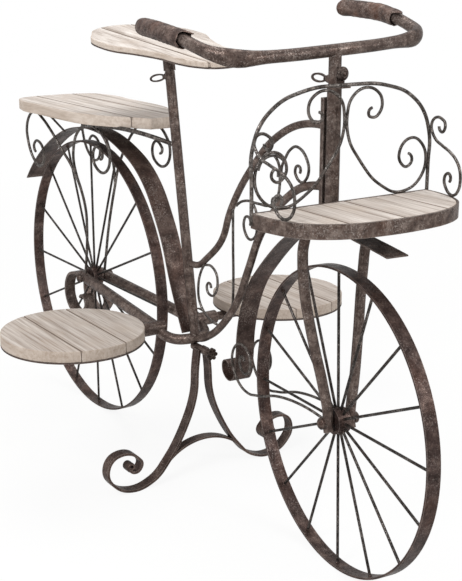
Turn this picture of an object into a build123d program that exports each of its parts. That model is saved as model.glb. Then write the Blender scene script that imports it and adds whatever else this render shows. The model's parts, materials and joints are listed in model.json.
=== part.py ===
from build123d import *
import os
from math import asin, cos, radians, sin, sqrt

os.makedirs("parts", exist_ok=True)

# Places along the bicycle, measured from the floor stand
stand_x = 16.0
rear_axle_back = 399.0
front_axle_ahead = 413.0
column_ahead = 379.0
seat_foot_back = 4.0
rear_axle_x = stand_x - rear_axle_back
front_axle_x = stand_x + front_axle_ahead
column_x = stand_x + column_ahead
seat_foot_x = stand_x - seat_foot_back

# Wheels
rear_wheel_radius = 280.0
front_wheel_radius = 238.0
rim_width = 22.0
rim_thickness = 3.5
spoke_count = 16
spoke_radius = 2.25
front_spoke_turn = 2.3
hub_radius = 20.0
rear_hub_half = 10.5
front_hub_half = 10.5
axle_radius = 5.0
nut_radius = 9.0
nut_height = 4.0

# Gaps: a shaft in its bore, and two pieces that pass each other
slide_gap = 0.05
free_gap = 0.5
rest_gap = 0.3
bite = 1.0

# Front wheel and fork stand turned to the right, against the lower tube
front_turn = -6.2

# Column, its rear channel and the pin of the fork
column_radius = 10.5
stem_radius = 9.2
spigot_radius = 7.0
column_foot_z = 551.0
column_top_z = 737.0
channel_width = 20.0
channel_depth = 5.0
channel_wall = 2.5
channel_low_z = 555.0
channel_top_z = 718.0
column_bolt_heights = (563.0, 700.0)
column_bolt_radius = 3.0
column_bolt_head = 6.5

# Seat tube and post
seat_foot_z = 254.0
seat_lean = 9.44
seat_tube_radius = 8.8
seat_tube_length = 474.0
seat_bore_depth = 110.0
post_radius = 7.6
post_grip = 100.0
saddle_socket_radius = 10.5
saddle_socket_length = 20.0

# Frame tubes
upper_tube_radius = 5.8
lower_tube_radius = 6.5
upper_tube_low_z = 391.0
upper_tube_high_z = 676.0
lower_tube_high_z = 587.0
stay_radius = 10.5
rear_stay_side = 22.0
socket_back = 60.0
socket_z = 266.3
socket_radius = 12.5
socket_inner = 34.0
socket_outer = 78.0
yoke_radius = 9.5
yoke_side = 41.0
hook_width = 22.0
hook_thickness = 5.0
hook_length = 76.0
hook_height = 82.0

# Panel between the tubes
panel_length = 351.0
panel_foot_z = 257.0
panel_height = 420.0

# Wires
wire_radius = 2.75
thin_wire_radius = 2.25

# Side shelves
arm_radius = 8.0
disc_side = 217.0
disc_ahead = -54.0
disc_radius = 124.0
disc_seam = 41.0
disc_board = 19.0
disc_plate = 2.7
arm_reach_share = 0.6

# Boards
seam_gap = 1.2

# Saddle
saddle_behind_tube = 2.3
saddle_over_tube = 49.4
saddle_back = 203.0
saddle_length = 397.0
saddle_half_width = 97.0
saddle_board = 9.0
saddle_plate = 2.7
saddle_seam = 31.0
saddle_nose_down = 5.7
saddle_roll = 4.0

# Rear shelf
rear_shelf_top_z = 637.0
rear_board = 20.0
rear_shelf_clearance = 48.3
rear_shelf_length = 450.0
rear_shelf_half_width = 99.0
rear_seam = 40.0
strap_width = 12.0
strap_thickness = 3.0
strap_side = 67.0
carrier_radius = 4.0
cross_strap_shares = (0.2, 0.65)

# Fenders
fender_thickness = 2.0
rear_fender_width = 38.0
front_fender_width = 35.0

# Fork
fork_radius = 8.0
fork_crown_z = 542.0
fork_side = 55.0
fork_end = 14.0

# Handlebar
bar_radius = 9.0
bar_z = 785.0
bar_half_width = 190.0
bar_sweep = 223.0
bar_rise = 38.0
bar_roll = 3.0
grip_radius = 12.0
grip_length = 133.0

# Front shelf and its gallery
front_shelf_top_z = 574.0
front_shelf_ahead = 404.0
front_shelf_half_width = 160.0
front_shelf_depth = 139.0
front_band_height = 21.0
front_band_thickness = 3.0
front_board = 16.0
front_seam = 88.0
front_strap_width = 20.0
front_strap_thickness = 4.0
cross_strap_ahead = 45.0
gallery_half_width = 160.5
gallery_height = 167.0
side_scroll_reach = 82.0
side_scroll_height = 116.0
side_scroll_lean = 0.15

# Ring screws, knobs and small bolts
screw_radius = 2.5
screw_collar_radius = 4.5
screw_collar_length = 6.0
ring_length = 34.0
seat_ring_length = 52.0
ring_height = 14.0
ring_wire = 3.0
boss_radius = 6.0
boss_length = 5.0
knob_radius = 11.0
knob_lobe_radius = 3.6
knob_lobes = 6
knob_thickness = 9.0
knob_screw_length = 16.0
tab_thickness = 3.0
tab_width = 15.0

# Floor stand
stand_leg_ahead = 16.0
stand_foot_reach = 197.0
stand_height = 238.0
stand_strip_width = 20.0
stand_strip_thickness = 5.0
stand_sleeve_radius = 7.0
stand_sleeve_back = 9.0
stand_sleeve_ahead = 44.0
stand_sleeve_z = 238.0
stand_bolt_radius = 3.0
stand_bolt_head = 7.0
brace_half_width = 75.5
brace_foot_z = 40.0
brace_top_z = 69.0
brace_width = 18.0
brace_thickness = 4.0

# Shapes, as shares of the sizes that they follow
rear_fender_shares = [
    (-1.011, 0.589), (-0.654, 0.879), (-0.075, 1.093), (0.425, 1.061),
    (0.861, 0.85), (1.068, 0.571), (1.239, 0.182), (1.361, -0.064),
]
front_fender_shares = [
    (0.567, 1.197), (0.282, 1.223), (0, 1.239), (-0.475, 1.134), (-0.866, 0.857),
    (-1.122, 0.576), (-1.248, 0.261), (-1.277, 0), (-1.294, -0.101), (-1.349, -0.164),
    (-1.429, -0.168), (-1.487, -0.118), (-1.479, -0.055), (-1.424, -0.034), (-1.382, -0.067),
]
fork_leg_shares = [
    (0, 0, 0), (0.118, 0.436, -0.003), (0.324, 0.836, -0.036), (0.353, 0.964, -0.099),
    (0.294, 0.964, -0.204), (0.324, 0.9, -0.336), (0.647, 0.7, -0.599), (0.941, 0.509, -0.796),
    (1.06, 0.364, -0.96), (1.06, 0.355, -1),
]
front_stay_shares = [
    (-1.122, 0.059), (-1.155, 0.084), (-1.189, 0.042), (-1.155, -0.025), (-1.084, -0.025),
    (-1.029, 0.059), (-1.071, 0.143), (-1.172, 0.172), (-1.273, 0.118), (-1.311, 0.021),
    (-1.265, -0.08), (-1.168, -0.147), (-1.063, -0.164), (-0.916, -0.134), (-0.634, -0.042),
    (-0.307, 0.008), (-0.034, 0.008),
]
upper_tube_shares = [
    (0, 0), (0.08, 0), (0.181, 0.084), (0.282, 0.207), (0.359, 0.418), (0.421, 0.544),
    (0.517, 0.695), (0.664, 0.874), (0.848, 0.986), (1, 1),
]
lower_tube_shares = [
    (0, 0), (0.054, 0.012), (0.148, 0.062), (0.296, 0.2), (0.389, 0.333), (0.452, 0.473),
    (0.567, 0.712), (0.707, 0.873), (0.861, 0.976), (1, 1),
]
hub_stay_shares = [
    (0.007, 0.344, 0.03), (0.043, 0.352, 0.165), (0.071, 0.375, 0.29), (0.1, 0.469, 0.461),
    (0.1, 0.594, 0.569), (0.093, 0.719, 0.659), (0.114, 0.844, 0.751), (0.171, 0.938, 0.844),
    (0.25, 1, 0.919), (0.346, 1, 0.973), (0.436, 1, 0.993), (0.546, 1, 0.982), (0.668, 1, 0.934),
    (0.732, 1, 0.862), (0.718, 1, 0.787), (0.643, 1, 0.743), (0.561, 1, 0.749), (0.496, 1, 0.796),
    (0.5, 1, 0.85), (0.546, 1, 0.88), (0.604, 1, 0.865), (0.629, 1, 0.838), (0.6, 1, 0.814),
]
rear_scroll_shares = [
    (0.1, 0.594, 0.569), (0.025, 0.719, 0.698), (-0.104, 0.828, 0.805), (-0.214, 0.906, 0.895),
    (-0.314, 0.969, 0.958), (-0.421, 1, 0.993), (-0.525, 1, 0.961), (-0.589, 1, 0.88),
    (-0.571, 1, 0.784), (-0.486, 1, 0.692), (-0.389, 1, 0.659), (-0.318, 1, 0.692),
    (-0.307, 1, 0.757), (-0.371, 1, 0.808), (-0.446, 1, 0.805), (-0.475, 1, 0.772),
    (-0.45, 1, 0.743),
]
hook_shares = [
    (0, 0), (-0.456, 0.049), (-0.833, -0.122), (-1, -0.537), (-0.789, -0.902),
    (-0.344, -1.012), (0.033, -0.878), (0.2, -0.585), (0.011, -0.451), (-0.122, -0.537),
]
bar_shares = [
    (0.019, 0.525, 0.01), (0.056, 0.81, 0.05), (0.148, 0.955, 0.242), (0.283, 1.003, 0.474),
    (0.415, 1.015, 0.689), (0.61, 1.03, 0.874), (0.867, 1.002, 0.992), (0.95, 0.985, 1),
]
grip_shares = bar_shares[4:]
stand_leg_shares = [
    (0.044, 1), (0.06, 0.9), (0.093, 0.62), (0.211, 0.377), (0.348, 0.196), (0.539, 0.04),
    (0.725, 0), (0.912, 0.055), (1, 0.183), (0.951, 0.28), (0.843, 0.31), (0.716, 0.272),
    (0.662, 0.188), (0.721, 0.145), (0.784, 0.176),
]
rail_shares = [
    (1, -0.096), (1, 0.228), (1, 0.509), (0.914, 0.725), (0.728, 0.886), (0.444, 0.976), (0, 1),
]
c_scroll_shares = [
    (0.296, 0.778), (0.259, 0.725), (0.321, 0.695), (0.395, 0.743), (0.407, 0.85),
    (0.321, 0.935), (0.198, 0.952), (0.062, 0.874), (0.014, 0.707), (0.043, 0.527),
    (0.173, 0.335), (0.389, 0.12), (0.66, 0.012), (0.877, 0.084), (0.967, 0.24),
    (0.926, 0.407), (0.79, 0.485), (0.66, 0.413), (0.654, 0.281), (0.747, 0.234),
    (0.796, 0.299), (0.753, 0.347),
]
s_scroll_shares = [
    (0.293, 0.845), (0.323, 0.797), (0.39, 0.78), (0.463, 0.823), (0.47, 0.892), (0.354, 0.948),
    (0.207, 0.953), (0.091, 0.901), (0.054, 0.828), (0.098, 0.75), (0.207, 0.672), (0.415, 0.612),
    (0.659, 0.552), (0.829, 0.483), (0.951, 0.384), (1, 0.241), (0.963, 0.112), (0.866, 0.036),
    (0.774, 0.018), (0.683, 0.033), (0.579, 0.095), (0.524, 0.181), (0.567, 0.259), (0.659, 0.28),
    (0.713, 0.237), (0.689, 0.181),
]
right_scroll_shares = [
    (0.727, 0.776), (0.724, 0.817), (0.746, 0.85), (0.786, 0.89), (0.823, 0.905),
    (0.86, 0.9), (0.9, 0.874), (0.92, 0.833), (0.906, 0.8), (0.872, 0.781),
    (0.835, 0.795), (0.823, 0.819), (0.835, 0.836), (0.858, 0.833), (0.858, 0.814),
]
arch_shares = [(0.368, 0.624), (0.402, 0.643), (0.45, 0.655), (0.541, 0.657), (0.632, 0.662), (0.687, 0.683)]
top_arch_shares = [(0.545, 0.785), (0.567, 0.817), (0.601, 0.838), (0.647, 0.852), (0.695, 0.855), (0.738, 0.845)]
inner_hook_shares = [
    (0.672, 0.852), (0.695, 0.836), (0.707, 0.817), (0.712, 0.776), (0.709, 0.738),
    (0.701, 0.712), (0.687, 0.683),
]
upright_shares = [(0.339, 0.626), (0.339, 0.46), (0.342, 0.317), (0.339, 0.24), (0.333, 0.19)]
small_c_shares = [
    (0.49, 0.657), (0.524, 0.631), (0.538, 0.579), (0.519, 0.521), (0.473, 0.507),
    (0.439, 0.531), (0.43, 0.569), (0.45, 0.593), (0.479, 0.588), (0.481, 0.564),
]
low_scroll_shares = [
    (0.014, 0.305), (0.088, 0.333), (0.154, 0.336), (0.194, 0.31), (0.202, 0.274),
    (0.188, 0.236), (0.148, 0.212), (0.108, 0.226), (0.105, 0.25), (0.128, 0.262), (0.142, 0.245),
]
low_left_shares = [
    (0.08, 0.331), (0.043, 0.288), (0.023, 0.233), (0.031, 0.169), (0.077, 0.126),
    (0.151, 0.102), (0.25, 0.102),
]
panel_disc_share = (0.687, 0.683)
panel_collar_share = (0.719, 0.79)
saddle_shares = [
    (1, 0), (0.977, 0.289), (0.914, 0.485), (0.826, 0.588), (0.713, 0.619), (0.552, 0.794),
    (0.443, 0.969), (0.338, 1), (0.222, 0.938), (0.131, 0.742), (0.063, 0.567), (0.018, 0.309),
    (0, 0),
]
front_shelf_shares = [
    (0, 1), (0.3, 0.988), (0.55, 0.928), (0.72, 0.83), (0.86, 0.66), (0.94, 0.48),
    (0.985, 0.24), (1, 0),
]
rear_shelf_shares = [
    (1, 0.202), (0.902, 0.465), (0.802, 0.747), (0.702, 0.919), (0.569, 0.98), (0.371, 1),
    (0.124, 0.99), (0.044, 0.848), (0.004, 0.455), (0, 0),
]

# Small pieces of the panel
panel_disc_radius = 9.0
panel_disc_thickness = 9.0
panel_collar_size = (13.0, 7.0, 8.0)

# A turn so slight that an arc is drawn straight
straight_share = 0.0005

rear_hub = (rear_axle_x, 0, rear_wheel_radius)
front_hub = (front_axle_x, 0, front_wheel_radius)
steer_axis = Axis((column_x, 0, 0), (0, 0, 1))
channel_back_x = column_x - column_radius - channel_depth - channel_wall


def side_places(shares, base, reach, aside=0):
    # Points in a plane along the bicycle
    return [(base[0] + reach[0] * along, aside, base[1] + reach[1] * up) for along, up in shares]


def front_places(shares, base, reach, ahead):
    # Points in a plane across the bicycle
    return [(ahead, base[0] + reach[0] * out, base[1] + reach[1] * up) for out, up in shares]


def space_places(shares, base, reach):
    # Points in space
    return [tuple(b + r * s for b, r, s in zip(base, reach, share)) for share in shares]


def smooth_route(points):
    # Two tangent arcs join each point to the next
    stops = [Vector(*point) for point in points]
    chords = [there - here for here, there in zip(stops, stops[1:])]
    leans = [
        (a.normalized() * b.length + b.normalized() * a.length).normalized()
        for a, b in zip(chords, chords[1:])
    ]
    first, last = chords[0].normalized(), chords[-1].normalized()
    if leans:
        leans = [
            first * (2 * first.dot(leans[0])) - leans[0],
            *leans,
            last * (2 * last.dot(leans[-1])) - leans[-1],
        ]
    else:
        leans = [first, last]
    with BuildLine() as route:
        for start, chord, go, come in zip(stops, chords, leans, leans[1:]):
            pull = chord.dot(go + come)
            spread = 2 * (1 - go.dot(come))
            if spread < straight_share:
                handle = chord.dot(chord) / (2 * pull)
            else:
                handle = (sqrt(pull**2 + spread * chord.dot(chord)) - pull) / spread
            before = start + go * handle
            after = start + chord - come * handle
            join = (before + after) * 0.5
            turn = (after - before).normalized()
            for here, there, lean in ((start, join, go), (join, start + chord, turn)):
                if (there - here).normalized().cross(lean).length < straight_share:
                    Line(here, there)
                else:
                    TangentArc(here, there, tangent=lean)
    return route.wire()


def add_rod(points, radius, mode=Mode.ADD):
    # A round bar along the points
    route = smooth_route(points)
    with BuildSketch(Plane(origin=route @ 0, z_dir=route % 0)) as section:
        Circle(radius)
    sweep(section.sketch, path=route, mode=mode)


def add_strip(points, across, width, thickness, mode=Mode.ADD):
    # A flat bar along the points, its width lying across
    route = smooth_route(points)
    with BuildSketch(Plane(origin=route @ 0, x_dir=across, z_dir=route % 0)) as section:
        Rectangle(width, thickness)
    sweep(section.sketch, path=route, mode=mode)


def add_cylinder(start, way, length, radius, mode=Mode.ADD):
    # A straight round bar from a point
    with BuildSketch(Plane(origin=start, z_dir=way)) as section:
        Circle(radius)
    extrude(section.sketch, amount=length, mode=mode)


def add_dome(base, way, radius, height):
    # A cap of a ball that rises from a point
    ball = (radius**2 + height**2) / (height * 2)
    half = asin(radius / ball) / 2
    side = Vector(0, 0, 1)
    with BuildSketch(Plane(origin=base, x_dir=side, z_dir=side.cross(Vector(*way)))) as cap:
        with BuildLine():
            Line((0, 0), (radius, 0))
            ThreePointArc((radius, 0), (ball * sin(half), height - ball + ball * cos(half)), (0, height))
            Line((0, height), (0, 0))
        make_face()
    revolve(cap.sketch, axis=Axis(base, way))


def save(piece, name):
    piece.label = name
    export_step(piece, f"parts/{name}.step")


def both_sides(points):
    # The same points on the near side and the far side
    return [[(x, side * y, z) for x, y, z in points] for side in (-1, 1)]


# Wheels
def make_wheel(hub, hub_half, name, turn, spoke_turn):
    radius = hub[2]
    with BuildPart() as rim:
        with BuildSketch(Plane(origin=hub, z_dir=(0, 1, 0))):
            Circle(radius)
            Circle(radius - rim_thickness, mode=Mode.SUBTRACT)
        extrude(amount=rim_width / 2, both=True)
    with BuildPart() as barrel:
        with BuildSketch(Plane(origin=hub, z_dir=(0, 1, 0))):
            Circle(hub_radius)
            Circle(axle_radius + slide_gap, mode=Mode.SUBTRACT)
        extrude(amount=hub_half, both=True)
    with BuildPart() as spokes:
        for number in range(spoke_count):
            way = radians(number * 360 / spoke_count + spoke_turn)
            add_cylinder(
                (hub[0] + (hub_radius - bite) * cos(way), 0, hub[2] + (hub_radius - bite) * sin(way)),
                (cos(way), 0, sin(way)),
                radius - rim_thickness / 2 - hub_radius + bite,
                spoke_radius,
            )
        add(barrel.part, mode=Mode.SUBTRACT)
        add(rim.part, mode=Mode.SUBTRACT)
    for piece, kind in ((rim, "rim"), (barrel, "hub"), (spokes, "spokes")):
        save(piece.part.rotate(steer_axis, turn), f"{name}_{kind}")


make_wheel(rear_hub, rear_hub_half, "rear", 0, 0)
make_wheel(front_hub, front_hub_half, "front", front_turn, front_spoke_turn)


def make_axle(hub, outer_side):
    # A rod that ends inside its two nuts
    with BuildPart() as axle:
        with BuildSketch(Plane(origin=hub, z_dir=(0, 1, 0))):
            Circle(axle_radius)
        extrude(amount=outer_side + nut_height / 2, both=True)
    return axle.part


def make_nuts(hub, outer_side, carrier, axle):
    # A round nut with a domed end on each side
    with BuildPart() as nuts:
        for side in (-1, 1):
            add_cylinder((hub[0], side * (outer_side - bite), hub[2]), (0, side, 0), nut_height + bite,
                         nut_radius)
            add_dome((hub[0], side * (outer_side + nut_height), hub[2]), (0, side, 0), nut_radius,
                     nut_radius / 2)
        add(carrier, mode=Mode.SUBTRACT)
        add(axle, mode=Mode.SUBTRACT)
    return nuts.part


# Sockets of the side shelf arms, one each side
socket_x = stand_x - socket_back
with BuildPart() as sockets:
    for side in (-1, 1):
        add_cylinder((socket_x, side * socket_inner, socket_z), (0, side, 0),
                     socket_outer - socket_inner, socket_radius)
        add_cylinder((socket_x, side * (socket_outer - boss_radius - bite), socket_z), (-1, 0, 0),
                     socket_radius + boss_length, boss_radius)
    for side in (-1, 1):
        add_cylinder((socket_x, side * (socket_inner + socket_radius / 2), socket_z), (0, side, 0),
                     socket_outer, arm_radius + slide_gap, Mode.SUBTRACT)
        add_cylinder((socket_x, side * (socket_outer - boss_radius - bite), socket_z), (-1, 0, 0),
                     socket_radius + boss_length + bite, screw_radius + slide_gap, Mode.SUBTRACT)
save(sockets.part, "arm_sockets")


def cut_socket_cores():
    # Room for the sockets in what is welded to them
    for side in (-1, 1):
        add_cylinder((socket_x, side * (socket_inner - bite), socket_z), (0, side, 0),
                     socket_outer - socket_inner + bite, socket_radius, Mode.SUBTRACT)


# Yoke behind the foot of the seat tube
yoke_half = [
    (socket_x, yoke_side, socket_z - socket_radius / 2),
    (seat_foot_x - yoke_radius * 2.4, yoke_side * 0.83, seat_foot_z - yoke_radius / 6),
]
yoke_points = [(x, -y, z) for x, y, z in yoke_half] + [(seat_foot_x, 0, seat_foot_z)]
yoke_points += yoke_half[::-1]
with BuildPart() as yoke:
    add_rod(yoke_points, yoke_radius)
    cut_socket_cores()
save(yoke.part, "yoke")

# Seat tube
seat_way = (-sin(radians(seat_lean)), 0, cos(radians(seat_lean)))
seat_back_way = (-cos(radians(seat_lean)), 0, -sin(radians(seat_lean)))


def on_seat(height, aside=0):
    # A point on the seat tube's axis, or behind it
    return (
        seat_foot_x + seat_way[0] * height + seat_back_way[0] * aside,
        0,
        seat_foot_z + seat_way[2] * height + seat_back_way[2] * aside,
    )


seat_boss_height = seat_tube_length - boss_radius * 1.3
with BuildPart() as seat_tube:
    add_cylinder(on_seat(bite), seat_way, seat_tube_length - bite, seat_tube_radius)
    add_cylinder(on_seat(seat_boss_height), seat_back_way, seat_tube_radius + boss_length, boss_radius)
    add_cylinder(on_seat(seat_tube_length - seat_bore_depth), seat_way, seat_bore_depth,
                 post_radius + slide_gap, Mode.SUBTRACT)
    add_cylinder(on_seat(seat_boss_height), seat_back_way, seat_tube_radius + boss_length + bite,
                 screw_radius + slide_gap, Mode.SUBTRACT)
    add(yoke.part, mode=Mode.SUBTRACT)
save(seat_tube.part, "seat_tube")

# Column with its bore for the fork pin below and the bar spigot above
with BuildPart() as column:
    with BuildSketch(Plane.XY.offset(column_foot_z)):
        with Locations((column_x, 0)):
            Circle(column_radius)
            Circle(spigot_radius + slide_gap, mode=Mode.SUBTRACT)
    extrude(amount=column_top_z - column_foot_z)
save(column.part, "column")

# Channel behind the column
with BuildPart() as channel:
    with BuildSketch(Plane.XY.offset(channel_low_z)):
        with Locations((channel_back_x + (channel_depth + channel_wall) / 2, 0)):
            Rectangle(channel_depth + channel_wall, channel_width)
            with Locations((channel_wall, 0)):
                Rectangle(channel_depth + channel_wall, channel_width - channel_wall * 2,
                          mode=Mode.SUBTRACT)
    extrude(amount=channel_top_z - channel_low_z)
    with BuildSketch(Plane.XY.offset(channel_low_z)):
        with Locations((column_x, 0)):
            Circle(column_radius)
    extrude(amount=channel_top_z - channel_low_z, mode=Mode.SUBTRACT)
    for height in column_bolt_heights:
        add_cylinder((channel_back_x - bite, 0, height), (1, 0, 0), channel_wall + bite * 2,
                     column_bolt_radius, Mode.SUBTRACT)
save(channel.part, "column_channel")

# Two bolts through the channel to the column
with BuildPart() as column_bolts:
    for height in column_bolt_heights:
        add_cylinder((channel_back_x, 0, height), (1, 0, 0),
                     column_x - channel_back_x - column_radius + bite, column_bolt_radius)
        add_dome((channel_back_x, 0, height), (-1, 0, 0), column_bolt_head, column_bolt_head * 0.7)
    with BuildSketch(Plane.XY.offset(channel_low_z)):
        with Locations((column_x, 0)):
            Circle(column_radius)
    extrude(amount=channel_top_z - channel_low_z, mode=Mode.SUBTRACT)
save(column_bolts.part, "column_bolts")

# Frame tubes
upper_low = on_seat((upper_tube_low_z - seat_foot_z) / seat_way[2])
tube_end_x = channel_back_x + channel_wall / 2
upper_reach = (tube_end_x - upper_low[0], upper_tube_high_z - upper_tube_low_z)
with BuildPart() as upper_tube:
    add_rod(side_places(upper_tube_shares, (upper_low[0], upper_low[2]), upper_reach), upper_tube_radius)
    add(seat_tube.part, mode=Mode.SUBTRACT)
    add(channel.part, mode=Mode.SUBTRACT)
save(upper_tube.part, "upper_tube")

lower_reach = (tube_end_x - seat_foot_x, lower_tube_high_z - seat_foot_z)
with BuildPart() as lower_tube:
    add_rod(side_places(lower_tube_shares, (seat_foot_x, seat_foot_z), lower_reach), lower_tube_radius)
    add(yoke.part, mode=Mode.SUBTRACT)
    add(seat_tube.part, mode=Mode.SUBTRACT)
    add(channel.part, mode=Mode.SUBTRACT)
save(lower_tube.part, "lower_tube")

# Chain stays, flattened behind the axle and rolled into hooks
rear_axle = make_axle(rear_hub, rear_stay_side + stay_radius)
with BuildPart() as chain_stays:
    for side in (-1, 1):
        hub_end = Vector(rear_hub[0], side * rear_stay_side, rear_hub[2])
        socket_end = Vector(socket_x, side * (yoke_side + bite), socket_z - socket_radius / 3)
        way = (socket_end - hub_end).normalized()
        add_cylinder(hub_end - way * stay_radius * 1.6, way,
                     (socket_end - hub_end).length + stay_radius * 1.6, stay_radius)
        add_strip(side_places(hook_shares, (rear_hub[0], rear_hub[2]), (hook_length, hook_height),
                              side * rear_stay_side), (0, 1, 0), hook_width, hook_thickness)
    cut_socket_cores()
    add(yoke.part, mode=Mode.SUBTRACT)
    add(rear_axle, mode=Mode.SUBTRACT)
save(chain_stays.part, "chain_stays")
save(make_nuts(rear_hub, rear_stay_side + stay_radius, chain_stays.part, rear_axle), "rear_axle_nuts")
save(rear_axle, "rear_axle")

# Rear fender
with BuildPart() as rear_fender:
    add_strip(side_places(rear_fender_shares, (rear_hub[0], rear_hub[2]),
                          (rear_wheel_radius, rear_wheel_radius)), (0, 1, 0),
              rear_fender_width, fender_thickness)
    add(yoke.part, mode=Mode.SUBTRACT)
    add(seat_tube.part, mode=Mode.SUBTRACT)
save(rear_fender.part, "rear_fender")

# Fork: two legs and the crown in one bent bar, with the pin in the column's foot
leg_reach = (front_axle_x - column_x, fork_side, fork_crown_z - front_wheel_radius)
leg = space_places(fork_leg_shares, (column_x, 0, fork_crown_z), leg_reach)
leg.append((leg[-1][0] + fork_end / 4, leg[-1][1], leg[-1][2] - fork_end))
fork_points = [(x, -y, z) for x, y, z in leg[:0:-1]] + leg
front_leg_side = leg[-1][1]
front_axle = make_axle(front_hub, front_leg_side + fork_radius)
with BuildPart() as fork:
    add_rod(fork_points, fork_radius)
    add_cylinder((column_x, 0, fork_crown_z), (0, 0, 1), fork_radius * 6, spigot_radius)
    add(front_axle, mode=Mode.SUBTRACT)
save(fork.part.rotate(steer_axis, front_turn), "fork")
save(make_nuts(front_hub, front_leg_side + fork_radius, fork.part, front_axle)
     .rotate(steer_axis, front_turn), "front_axle_nuts")
save(front_axle.rotate(steer_axis, front_turn), "front_axle")

# Front fender under the crown, its lower end rolled back
front_fender_points = side_places(front_fender_shares, (front_hub[0], front_hub[2]),
                                  (front_wheel_radius, front_wheel_radius))
with BuildPart() as front_fender:
    add_strip(front_fender_points, (0, 1, 0), front_fender_width, fender_thickness)
    add(fork.part, mode=Mode.SUBTRACT)
save(front_fender.part.rotate(steer_axis, front_turn), "front_fender")

# Fender stays from the hub, ending in spirals beside the fender
front_stay_side = front_fender_width / 2 + thin_wire_radius
with BuildPart() as front_stays:
    for side in (-1, 1):
        add_rod(side_places(front_stay_shares, (front_hub[0], front_hub[2]),
                            (front_wheel_radius, front_wheel_radius), side * front_stay_side),
                thin_wire_radius)
    add(front_fender.part, mode=Mode.SUBTRACT)
    add(fork.part, mode=Mode.SUBTRACT)
save(front_stays.part.rotate(steer_axis, front_turn), "front_fender_stays")

# Wire scrolls in the frame's panel
def panel_places(shares):
    return side_places(shares, (stand_x, panel_foot_z), (panel_length, panel_height))


disc_x, disc_z = [(x, z) for x, y, z in panel_places([panel_disc_share])][0]
collar_x, collar_z = [(x, z) for x, y, z in panel_places([panel_collar_share])][0]
with BuildPart() as panel_scrolls:
    for shares in (right_scroll_shares, arch_shares, top_arch_shares, inner_hook_shares,
                   upright_shares, small_c_shares, low_scroll_shares, low_left_shares):
        add_rod(panel_places(shares), thin_wire_radius)
    add_cylinder((disc_x, -panel_disc_thickness / 2, disc_z), (0, 1, 0), panel_disc_thickness,
                 panel_disc_radius)
    with Locations((collar_x, 0, collar_z)):
        Box(*panel_collar_size)
    add(upper_tube.part, mode=Mode.SUBTRACT)
    add(lower_tube.part, mode=Mode.SUBTRACT)
    add(seat_tube.part, mode=Mode.SUBTRACT)
save(panel_scrolls.part, "panel_scrolls")


# Boards: one outline cut into planks by its seams
def outline_through(half):
    # The half's points up to the middle line, then their mirror images back
    ring = [(x, -y, 0) for x, y in half] + [(x, y, 0) for x, y in half[-2::-1]]
    route = smooth_route(ring)
    with BuildSketch() as outline:
        with BuildLine():
            add(route)
            if half[0][1]:
                Line(ring[-1], ring[0])
        make_face()
    return outline.sketch


def drawn_in(outline, inset):
    # The outline drawn in on all sides
    with BuildSketch() as inner:
        add(outline)
        offset(amount=-inset, mode=Mode.REPLACE)
    return inner.sketch


def planks(outline, seams, thickness, place):
    # Planks between the seams, their top at the plane
    box = outline.bounding_box()
    edges = [box.min.Y - bite, *seams, box.max.Y + bite]
    with BuildPart() as boards:
        for number, (low, high) in enumerate(zip(edges, edges[1:])):
            low = low + seam_gap / 2 if number else low
            high = high - seam_gap / 2 if number < len(edges) - 2 else high
            with BuildSketch(Plane.XY) as plank:
                add(outline)
                with Locations(((box.min.X + box.max.X) / 2, (low + high) / 2)):
                    Rectangle(box.size.X + bite * 2, high - low, mode=Mode.INTERSECT)
            extrude(place * plank.sketch, amount=-thickness)
    return boards.part


# Rear shelf
seat_at_shelf = on_seat((rear_shelf_top_z - seat_foot_z) / seat_way[2])
shelf_back_x = seat_at_shelf[0] - rear_shelf_clearance - rear_shelf_length
rear_outline = outline_through(
    [(shelf_back_x + rear_shelf_length * a, rear_shelf_half_width * w) for a, w in rear_shelf_shares])
rear_planks = planks(rear_outline, (-rear_seam, rear_seam), rear_board,
                     Plane.XY.offset(rear_shelf_top_z))
save(rear_planks, "rear_shelf_planks")

rear_under_z = rear_shelf_top_z - rear_board
strap_z = rear_under_z - strap_thickness / 2
carrier_points = [
    (shelf_back_x + rear_shelf_length * 0.72, strap_side - strap_width / 4, rear_under_z - strap_thickness - carrier_radius / 2),
    (shelf_back_x + rear_shelf_length * 0.99, strap_side / 2, rear_under_z - strap_thickness - carrier_radius),
    on_seat((rear_under_z - seat_foot_z) / seat_way[2] - strap_width * 2),
]
with BuildPart() as rear_carrier:
    for side in (-1, 1):
        with BuildSketch(Plane.XY.offset(rear_under_z - strap_thickness)) as strap:
            with Locations((shelf_back_x + rear_shelf_length * 0.44, side * strap_side)):
                Rectangle(rear_shelf_length * 0.62, strap_width)
        extrude(strap.sketch, amount=strap_thickness)
        add_rod([(x, side * y, z) for x, y, z in carrier_points], carrier_radius)
    with BuildSketch(Plane.XY.offset(rear_under_z - strap_thickness)) as cross_straps:
        for share in cross_strap_shares:
            with Locations((shelf_back_x + rear_shelf_length * share, 0)):
                Rectangle(strap_width, strap_side * 2)
    extrude(cross_straps.sketch, amount=strap_thickness)
    with BuildSketch(Plane.XY.offset(rear_under_z)) as deck:
        add(rear_outline)
    extrude(deck.sketch, amount=rear_board, mode=Mode.SUBTRACT)
    add_cylinder(on_seat(0), seat_way, seat_tube_length, seat_tube_radius, Mode.SUBTRACT)
save(rear_carrier.part, "rear_shelf_carrier")

# Large side scrolls that rise from the axle, with the scrolls behind them
scroll_side = strap_side - strap_width / 4
scroll_reach = (rear_wheel_radius, scroll_side, rear_under_z - strap_thickness - rear_wheel_radius)
with BuildPart() as rear_scrolls:
    for side in (-1, 1):
        for shares in (hub_stay_shares, rear_scroll_shares):
            add_rod([(x, side * y, z) for x, y, z in space_places(shares, rear_hub, scroll_reach)],
                    wire_radius)
    add(chain_stays.part, mode=Mode.SUBTRACT)
    add(rear_carrier.part, mode=Mode.SUBTRACT)
save(rear_scrolls.part, "rear_scrolls")

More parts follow.
